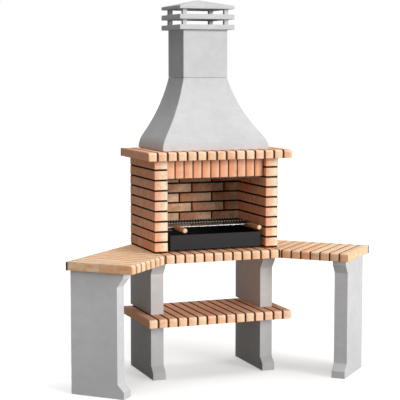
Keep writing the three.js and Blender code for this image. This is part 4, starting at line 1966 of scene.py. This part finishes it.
@dataclass
class Tray(Assembly):
    """The folded charcoal tray on its two runners.

    Attributes:
        half: Half its width.
        front: Its front.
        back: Its back.
        floor: The level of its underside.
        height: Its height.
        sheet: The thickness of the sheet.
        hem: The width of the hem.
        hem_edge: The rounding of the hem's inner edge.
        hem_turn: How far in and down the middle of its fold lies.
        bend: The radius of the fold at the foot.
        bend_faces: The faces of that fold.
        fold_corner: How much rounder the upright corners are.
        corner_faces: The faces of such a corner.
        inner_bend: The rounding of the fold inside.
        inside: The share of the sheet's thickness where the inside starts.
        runner: The height of a runner.
        runner_width: Its width.
        runner_inset: How far it lies in from the side.
        runner_sunk: How deep it is let into the floor.
        runner_arris: The rounding of its edges.
    """

    half: float = 0.29
    front: float = 0.022
    back: float = 0.412
    floor: float = 0.7688
    height: float = 0.09
    sheet: float = 0.0025
    hem: float = 0.01
    hem_edge: float = 0.001
    hem_turn: float = 0.0008
    bend: float = 0.004
    bend_faces: int = 3
    fold_corner: float = 0.002
    corner_faces: int = 5
    inner_bend: float = 0.003
    inside: float = 0.6
    runner: float = 0.008
    runner_width: float = 0.02
    runner_inset: float = 0.06
    runner_sunk: float = 0.001
    runner_arris: float = 0.0012

    def ring(self, margin: float, radius: float, level: float) -> list[Point]:
        """One level of the folded sheet.

        Args:
            margin: How far inside the outer face it is.
            radius: The radius of its corners.
            level: Its height.

        Returns:
            Its points.
        """
        across = inset((-self.half, self.half), margin)
        along = inset((self.front, self.back), margin)
        return rounded_ring(across, along, radius, level, self.corner_faces)

    def shell(self) -> Solid:
        """The tray as one folded sheet with a hem along its rim.

        Returns:
            The closed solid, with its inside in the second finish.
        """
        low, top, bend, sheet = self.floor, self.floor + self.height, self.bend, self.sheet
        corner, tight = bend + self.fold_corner, bend / 2
        rings = [self.ring(bend, self.fold_corner, low)]
        for angle in angles(0.0, math.pi / 2, self.bend_faces)[1:]:
            margin, up = bend * (1 - math.sin(angle)), bend * (1 - math.cos(angle))
            rings.append(self.ring(margin, corner, low + up))
        rings += [
            self.ring(0.0, corner, top - sheet),
            self.ring(self.hem_turn, corner - self.hem_turn, top - self.hem_turn),
            self.ring(sheet, bend, top),
            self.ring(self.hem - self.hem_edge, tight, top),
            self.ring(self.hem, tight, top - self.hem_edge),
            self.ring(self.hem, tight, top - sheet),
            self.ring(sheet, bend, top - sheet),
            self.ring(sheet, bend, low + sheet + self.inner_bend),
            self.ring(sheet + self.inner_bend, tight, low + sheet),
        ]
        bm = loft(rings, Ends.CAPPED)
        margin = sheet * self.inside
        inner = [
            inset(span, margin)
            for span in ((-self.half, self.half), (self.front, self.back), (low, top))
        ]
        # The inside takes the darker second finish, painted shade.
        for face in bm.faces:
            middle = face.calc_center_median()
            if all(least < at < most for at, (least, most) in zip(middle, inner)):
                face.material_index = SECOND_COAT
        return bm

    def build(self) -> None:
        """Builds and dresses the tray."""
        heap = Heap("charcoal_tray_sheet", "tray")
        heap.put(self.shell(), self.place)
        outer = self.half - self.runner_inset
        along = inset((self.front, self.back), self.runner_width)
        level = (self.floor - self.runner, self.floor + self.runner_sunk)
        for side in (-1, 1):
            across = mirrored((outer - self.runner_width, outer), side)
            bm = brick_form(across, along, level, self.back - self.front)
            heap.put(soften(bm, self.runner_arris), self.place)
        heap.piece(self.finishes, [TRAY_PAINT, TRAY_INSIDE_SHADE], "black_steel", "charcoal_tray")


def tube(path: Sequence[Vector], radius: float, sides: int, looped: bool) -> Solid:
    """A round wire along a level path.

    Args:
        path: Its middle line.
        radius: Its radius.
        sides: How many faces go round it.
        looped: True if its ends meet.

    Returns:
        The closed solid.
    """
    rings = []
    count = len(path)
    for i, point in enumerate(path):
        before = path[(i - 1) % count] if looped or i > 0 else point
        after = path[(i + 1) % count] if looped or i < count - 1 else point
        ahead = (after - before).normalized()
        beside = Vector((-ahead.y, ahead.x, 0.0)).normalized() * radius
        rings.append(circle(point, beside, Vector((0.0, 0.0, radius)), sides))
    return loft(rings, Ends.LOOPED if looped else Ends.CAPPED)


@dataclass
class Grill(Assembly):
    """The chromed wire grill and its two turned handles.

    Attributes:
        middle: The middle of the frame across.
        half: Half its width.
        front: Its front wire.
        back: Its back wire.
        level: Its level.
        rail: The radius of its wires.
        rail_sides: The faces round one.
        rod: The radius of a rod.
        rod_sides: The faces round one.
        rod_level: The level of the rods.
        rod_pitch: From one rod to the next.
        rods: How many there are.
        rod_end: How far they reach past the frame.
        bend: The radius of the frame's corners.
        bend_faces: The faces of a corner.
        weld_radius: The radius of a weld bead.
        weld_height: Half its height.
        weld_stretch: How much longer than wide it is.
        weld_sunk: How far it lies under the rods' middle.
        weld_angles: How far up and down its rings lie.
        weld_sides: The faces round it.
        front_welds: The share of this size that it has on the front wire.
        weld_clear: How far forward it is set on the back wire.
        handle_places: Where the handles lie across.
        handle_front: Their front end.
        handle_back: Their back end.
        handle_radius: Their radius.
        handle_round: The rounding of their ends.
        round_faces: The faces of the rounding.
        end_flat: How far the flat end stays inside it.
        end_face: How far back a face counts as the end.
        waist: How far back and how deep each point of the turning is.
        handle_sides: The faces round a handle.
        tang: How deep a tang stands in it.
        bore: The radius of the hole for it.
        front_tip: The radius of the innermost ring in front.
        bore_tip: The radius of the innermost ring in the hole.
        pith: How far the wood's rings lie beside and over the handle's middle.
    """

    middle: float = 0.008
    half: float = 0.288
    front: float = 0.114
    back: float = 0.419
    level: float = 0.8948
    rail: float = 0.0033
    rail_sides: int = 12
    rod: float = 0.0014
    rod_sides: int = 8
    rod_level: float = 0.8994
    rod_pitch: float = 0.018
    rods: int = 31
    rod_end: float = 0.003
    bend: float = 0.012
    bend_faces: int = 6
    weld_radius: float = 0.005
    weld_height: float = 0.0042
    weld_stretch: float = 1.2
    weld_sunk: float = 0.0008
    weld_angles: Sequence[float] = (-1.1, -0.4, 0.4, 1.1)
    weld_sides: int = 8
    front_welds: float = 0.6
    weld_clear: float = 0.0035
    handle_places: Sequence[float] = (-0.2255, 0.2415)
    handle_front: float = -0.064
    handle_back: float = 0.096
    handle_radius: float = 0.014
    handle_round: float = 0.004
    round_faces: int = 4
    end_flat: float = 0.002
    end_face: float = 0.0008
    waist: Sequence[Flat] = ((0.05, 0.0006), (0.08, 0.0009), (0.115, 0.0003))
    handle_sides: int = 32
    tang: float = 0.032
    bore: float = 0.0043
    front_tip: float = 0.0015
    bore_tip: float = 0.001
    pith: Flat = (0.004, -0.003)

    def sides(self) -> Span:
        """Where the frame's left and right wires lie."""
        return self.middle - self.half, self.middle + self.half

    def rail_along(self, path: Sequence[Vector], looped: bool = False) -> Solid:
        """A thick wire along a level path."""
        return tube(path, self.rail, self.rail_sides, looped)

    def outer_wire(self) -> Solid:
        """The bent wire round the grill.

        Returns:
            The closed solid, with all but its front in the third finish.
        """
        along = (self.front, self.back)
        path = rounded_ring(self.sides(), along, self.bend, self.level, self.bend_faces)
        bm = self.rail_along([Vector(point) for point in path], looped=True)
        # All but the front wire takes the darker third finish, painted shade.
        for face in bm.faces:
            if face.calc_center_median().y > self.front + self.bend:
                face.material_index = THIRD_COAT
        return bm

    def weld(self, x: float, y: float) -> Solid:
        """A small weld bead where a rod crosses a thick wire.

        Args:
            x: Where the rod lies.
            y: Where the wire lies.

        Returns:
            The closed solid: smaller on the front wire, and set forward on the back wire, where
            it stays clear of the back wall.
        """
        size = self.front_welds if y == self.front else 1.0
        along = y - self.weld_clear if y == self.back else y
        level = self.rod_level - self.weld_sunk
        rings = []
        for angle in self.weld_angles:
            radius = self.weld_radius * size * math.cos(angle)
            middle = Vector((x, along, level + self.weld_height * size * math.sin(angle)))
            beside = Vector((radius, 0.0, 0.0))
            onwards = Vector((0.0, radius * self.weld_stretch, 0.0))
            rings.append(circle(middle, beside, onwards, self.weld_sides))
        return loft(rings, Ends.CAPPED)

    def build_wires(self) -> None:
        """Builds the frame, the rods, their welds and the tangs."""
        heap = Heap("grill_wires", "grill")
        heap.put(self.outer_wire(), self.place)
        centre = (self.front + self.back) / 2
        cross = [Vector((x, centre, self.level)) for x in self.sides()]
        heap.put(self.rail_along(cross), self.place, paint=THIRD_COAT)
        for i in range(self.rods):
            x = self.middle + (i - (self.rods - 1) / 2) * self.rod_pitch
            path = [
                Vector((x, y, self.rod_level))
                for y in inset((self.front, self.back), -self.rod_end)
            ]
            heap.put(tube(path, self.rod, self.rod_sides, False), self.place, paint=THIRD_COAT)
            for y in (self.front, centre, self.back):
                # The welds take the near-white second finish, painted glints.
                heap.put(self.weld(x, y), self.place, paint=SECOND_COAT)
        for x in self.handle_places:
            path = [
                Vector((x, y, self.level)) for y in (self.handle_back - self.tang, self.front)
            ]
            heap.put(self.rail_along(path), self.place)
        heap.piece(self.finishes, [CHROME, WELD_GLINT, SHADED_WIRE], "chrome", "grill")

    def handle(self, x: float) -> Solid:
        """One turned handle, bored at its back end.

        Args:
            x: The middle of the handle.

        Returns:
            The closed solid, with its front end in the second finish.
        """
        near, far, soft = self.handle_front, self.handle_back, self.handle_round
        core, floor = self.handle_radius - soft, self.handle_back - self.tang
        turns = angles(0.0, math.pi / 2, self.round_faces)
        rounding = [(core + soft * math.sin(a), soft * (1 - math.cos(a))) for a in turns]
        outline = [
            (self.front_tip, near),
            (core - self.end_flat, near),
            *[(out, near + step) for out, step in rounding[1:]],
            *[(self.handle_radius - deep, near + step) for step, deep in self.waist],
            *[(out, far - step) for out, step in reversed(rounding)],
            (self.bore, far),
            (self.bore, floor),
            (self.bore_tip, floor),
        ]
        rings = [
            circle(
                Vector((x, y, self.level)),
                Vector((out, 0.0, 0.0)),
                Vector((0.0, 0.0, out)),
                self.handle_sides,
            )
            for out, y in outline
        ]
        bm = loft(rings, Ends.CAPPED)
        for face in bm.faces:
            if face.calc_center_median().y < near + self.end_face:
                face.material_index = SECOND_COAT
        return bm

    def build_handles(self) -> None:
        """Builds and dresses the handles."""
        for x, label in zip(self.handle_places, ("left", "right")):
            heap = Heap(f"{label}_turned_handle", "grill")
            heap.put(self.handle(x), self.place)
            row = self.place @ Vector((x, 0.0, self.level))
            middle = (row.x + self.pith[0], row.z + self.pith[1])
            side = Wood(f"{label}_handle_wood", (206, 152, 114), (160, 106, 74), middle)
            end = Wood(f"{label}_handle_end_grain", (244, 212, 172), (214, 166, 122), middle)
            heap.piece(self.finishes, [side, end], "wood", f"{label}_handle")

    def build(self) -> None:
        """Builds and dresses the whole grill."""
        self.build_wires()
        self.build_handles()


# Studio

WHITE = (1.0, 1.0, 1.0, 1.0)
LAMP_REACH = 6.0


def aim(
    thing: bpy.types.Object, turn: float, rise: float, target: Point, distance: float
) -> None:
    """Puts a lamp or a camera round a point and turns it to the point.

    Args:
        thing: The lamp or the camera.
        turn: The angle to the right of straight in front.
        rise: The angle over the horizon.
        target: The point.
        distance: How far from the point it goes.
    """
    towards = Vector((
        math.sin(turn) * math.cos(rise), -math.cos(turn) * math.cos(rise), math.sin(rise)
    ))
    thing.location = Vector(target) + towards * distance
    thing.rotation_mode = "QUATERNION"
    thing.rotation_quaternion = towards.to_track_quat("Z", "Y")


def seen(s: Shader) -> Wire:
    """Where something is seen, itself or mirrored, and doesn't only give light.

    Args:
        s: The tree.

    Returns:
        1 there, and 0 elsewhere.
    """
    path = s.add("ShaderNodeLightPath", {}, {})
    camera, mirror, glass = (
        Wire(s, path.outputs[f"Is {name} Ray"]) for name in ("Camera", "Glossy", "Transmission")
    )
    return camera.highest(mirror).highest(glass)


@dataclass(frozen=True)
class Lamp:
    """A soft light far away.

    Attributes:
        name: Its name.
        turn: How many degrees it is to the right of straight ahead.
        rise: How many degrees it is over the horizon.
        spread: How many degrees wide it looks from the object.
        strength: Its strength.
    """

    name: str
    turn: float
    rise: float
    spread: float
    strength: float

    def hang(self) -> None:
        """Hangs the lamp."""
        data = bpy.data.lights.new(self.name, "SUN")
        data.energy = self.strength
        data.angle = math.radians(self.spread)
        lamp = add_object(self.name, data)
        aim(lamp, math.radians(self.turn), math.radians(self.rise), (0.0, 0.0, 0.0), LAMP_REACH)


LAMPS = (
    Lamp("main_light", turn=31.5, rise=10.0, spread=30.0, strength=2.72),
    Lamp("front_light", turn=-20.0, rise=25.0, spread=40.0, strength=0.38),
    Lamp("top_light", turn=0.0, rise=85.0, spread=45.0, strength=1.4),
    Lamp("back_light", turn=165.0, rise=40.0, spread=80.0, strength=0.5),
)


@dataclass
class Studio:
    """The pale floor, the soft light and the camera.

    Attributes:
        lamps: The lamps.
        sky: The strength of the even light from all round.
        floor_half: Half the floor's width.
        floor_glow: How much light the camera sees the floor give off.
        floor_bounce: How much of the light on it the floor gives back to the object.
        floor_seen: How much of the light on it the floor gives back to the camera.
        target: The point that the camera looks at.
        turn: The camera's angle to the right of straight in front.
        rise: The camera's angle over the horizon.
        distance: How far the camera is from the point.
        lens: Its focal length in millimetres.
        sensor: The width of its sensor in millimetres.
    """

    lamps: Sequence[Lamp] = LAMPS
    sky: float = 0.07
    floor_half: float = 60.0
    floor_glow: float = 0.40
    floor_bounce: float = 0.26
    floor_seen: float = 0.90
    target: Point = (-0.107359, -0.043740, 1.063329)
    turn: float = math.radians(-20.7645)
    rise: float = math.radians(5.8912)
    distance: float = 7.535234
    lens: float = 115.742
    sensor: float = 36.0

    def floor_material(self) -> bpy.types.Material:
        """A floor that the camera sees white where it is lit, and that reflects little light.

        Returns:
            The material.
        """
        s = Shader.of_material("studio_floor")
        dull, white = (
            s.shade("ShaderNodeBsdfDiffuse", {0: (level, level, level, 1.0)})
            for level in (self.floor_bounce, self.floor_seen)
        )
        glow = s.shade("ShaderNodeEmission", {0: WHITE, 1: self.floor_glow})
        bright = s.shade("ShaderNodeAddShader", {0: white, 1: glow})
        both = s.shade("ShaderNodeMixShader", {0: seen(s), 1: dull, 2: bright})
        s.add("ShaderNodeOutputMaterial", {}, {"Surface": both})
        return s.owner

    def build_floor(self) -> None:
        """Lays the floor."""
        half = self.floor_half
        mesh = bpy.data.meshes.new("studio_floor")
        corners = [(-half, -half, 0.0), (half, -half, 0.0), (half, half, 0.0), (-half, half, 0.0)]
        mesh.from_pydata(corners, [], [(0, 1, 2, 3)])
        mesh.materials.append(self.floor_material())
        add_object("studio_floor", mesh)

    def build_world(self) -> None:
        """Lights the scene evenly from all round, and shows white behind it."""
        world = bpy.data.worlds.new("studio_world")
        bpy.context.scene.world = world
        s = Shader(world)
        strength = self.sky + seen(s) * (1.0 - self.sky)
        light = s.shade("ShaderNodeBackground", {"Color": WHITE, "Strength": strength})
        s.add("ShaderNodeOutputWorld", {}, {"Surface": light})

    def build_camera(self) -> None:
        """Sets the camera at the photograph's angle."""
        data = bpy.data.cameras.new("camera")
        data.lens = self.lens
        data.sensor_width = self.sensor
        camera = add_object("camera", data)
        aim(camera, self.turn, self.rise, self.target, self.distance)
        bpy.context.scene.camera = camera

    def build(self) -> None:
        """Builds the studio."""
        bpy.context.scene.view_settings.view_transform = "Standard"
        self.build_floor()
        self.build_world()
        for lamp in self.lamps:
            lamp.hang()
        self.build_camera()


# Assembly


WALL_BACK = 0.467
TOP_JOINT = 0.0095
WIDE_JOINT = 0.0105
SHELF_TOP = 0.385
WORKTOP_FRONT = -0.098
WORKTOP_BOTTOM = 0.7105
SMOKE_OPENING = ((-0.2903, 0.2903), (0.1147, 0.4173))
TABLE_START = 0.375
TABLE_PITCH = 0.0595
TABLE_SLIPS = 14
TABLE_CUT = 0.36205
TABLE_CORNER = 0.357
LEG_ACROSS = (0.31, 0.39)
OUTER_LEG_ACROSS = (0.308, 0.391)


def centred(count: int, joint: float) -> list[float]:
    """Where slips start in a slab that is centred on the middle.

    Args:
        count: How many slips it has.
        joint: The width of its joints.

    Returns:
        The start of each slip.
    """
    pitch = Slab.width + joint
    first = -(count * pitch - joint) / 2
    return [first + i * pitch for i in range(count)]


def slabs(finishes: Finishes, row: Matrix) -> list[Slab]:
    """The five slabs.

    Args:
        finishes: The finishes.
        row: The masonry's frame in the model.

    Returns:
        The slabs in order from the top.
    """
    slips = {"finishes": finishes, "brick": SLIP_BRICK, "place": row}
    wide = {"starts": centred(15, WIDE_JOINT), "joint": WIDE_JOINT, **slips}
    made = [
        Slab(name="cornice", front=-0.069, back=WALL_BACK, bottom=1.3015, hole=SMOKE_OPENING, **wide),
        Slab(
            name="worktop",
            front=WORKTOP_FRONT,
            back=WALL_BACK,
            bottom=WORKTOP_BOTTOM,
            starts=centred(12, TOP_JOINT),
            joint=TOP_JOINT,
            **slips,
        ),
        Slab(name="shelf", front=-0.073, back=0.432, bottom=SHELF_TOP - Slab.thickness, **wide),
    ]
    for side, label, brick in (
        (-1, "left", LEFT_TABLE_BRICK), (1, "right", RIGHT_TABLE_BRICK)
    ):
        made.append(Slab(
            name=f"{label}_table",
            finishes=finishes,
            front=0.0,
            back=0.414,
            bottom=WORKTOP_BOTTOM,
            starts=[TABLE_START - TABLE_PITCH * i for i in range(TABLE_SLIPS)],
            joint=TOP_JOINT,
            brick=brick,
            place=table_place(row, side),
            side=side,
            cut=side * TABLE_CUT,
            split=True,
        ))
    return made


def table_place(row: Matrix, side: int) -> Matrix:
    """The frame of a side table, turned 45 degrees at the worktop's front corner."""
    turn = Matrix.Rotation(-side * math.pi / 4, 4, "Z")
    return row @ Matrix.Translation((side * TABLE_CORNER, WORKTOP_FRONT, 0.0)) @ turn


def legs(finishes: Finishes, row: Matrix) -> list[Leg]:
    """The six legs.

    Args:
        finishes: The finishes.
        row: The masonry's frame in the model.

    Returns:
        The legs.
    """
    made = []
    for side, label in ((-1, "left"), (1, "right")):
        for name, level, foot, cast in (
            ("lower", (0.0, SHELF_TOP - Slab.thickness), True, LOWER_SHADED_CAST),
            ("upper", (SHELF_TOP, WORKTOP_BOTTOM), False, UPPER_LIT_SHADED_CAST),
        ):
            made.append(Leg(
                node=f"{label}_{name}_leg",
                finishes=finishes,
                place=row,
                across=mirrored(LEG_ACROSS, side),
                front=0.039,
                back=0.473,
                level=level,
                foot=foot,
                head=not foot,
                cast=cast,
            ))
        made.append(Leg(
            node=f"{label}_outer_leg",
            finishes=finishes,
            place=table_place(row, side),
            across=mirrored(OUTER_LEG_ACROSS, side),
            front=0.071,
            back=0.406,
            level=(0.0, WORKTOP_BOTTOM),
            foot=True,
            head=True,
            cast=OUTER_LIT_CAST,
        ))
    return made


def main() -> None:
    """Builds the studio and every sub-assembly in order."""
    logging.basicConfig(level=logging.INFO, format="%(message)s", stream=sys.stdout)
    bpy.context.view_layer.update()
    Studio().build()
    finishes = Finishes()
    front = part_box("left_wall_course_1")[0].y
    row = Matrix.Translation((0.0, front, 0.0))
    for part in (
        *slabs(finishes, row),
        Firebox(finishes, row),
        *legs(finishes, row),
        Chimney(finishes, row),
        Tray(finishes, row),
        Grill(finishes, row),
    ):
        part.build()


if __name__ == "__main__":
    main()
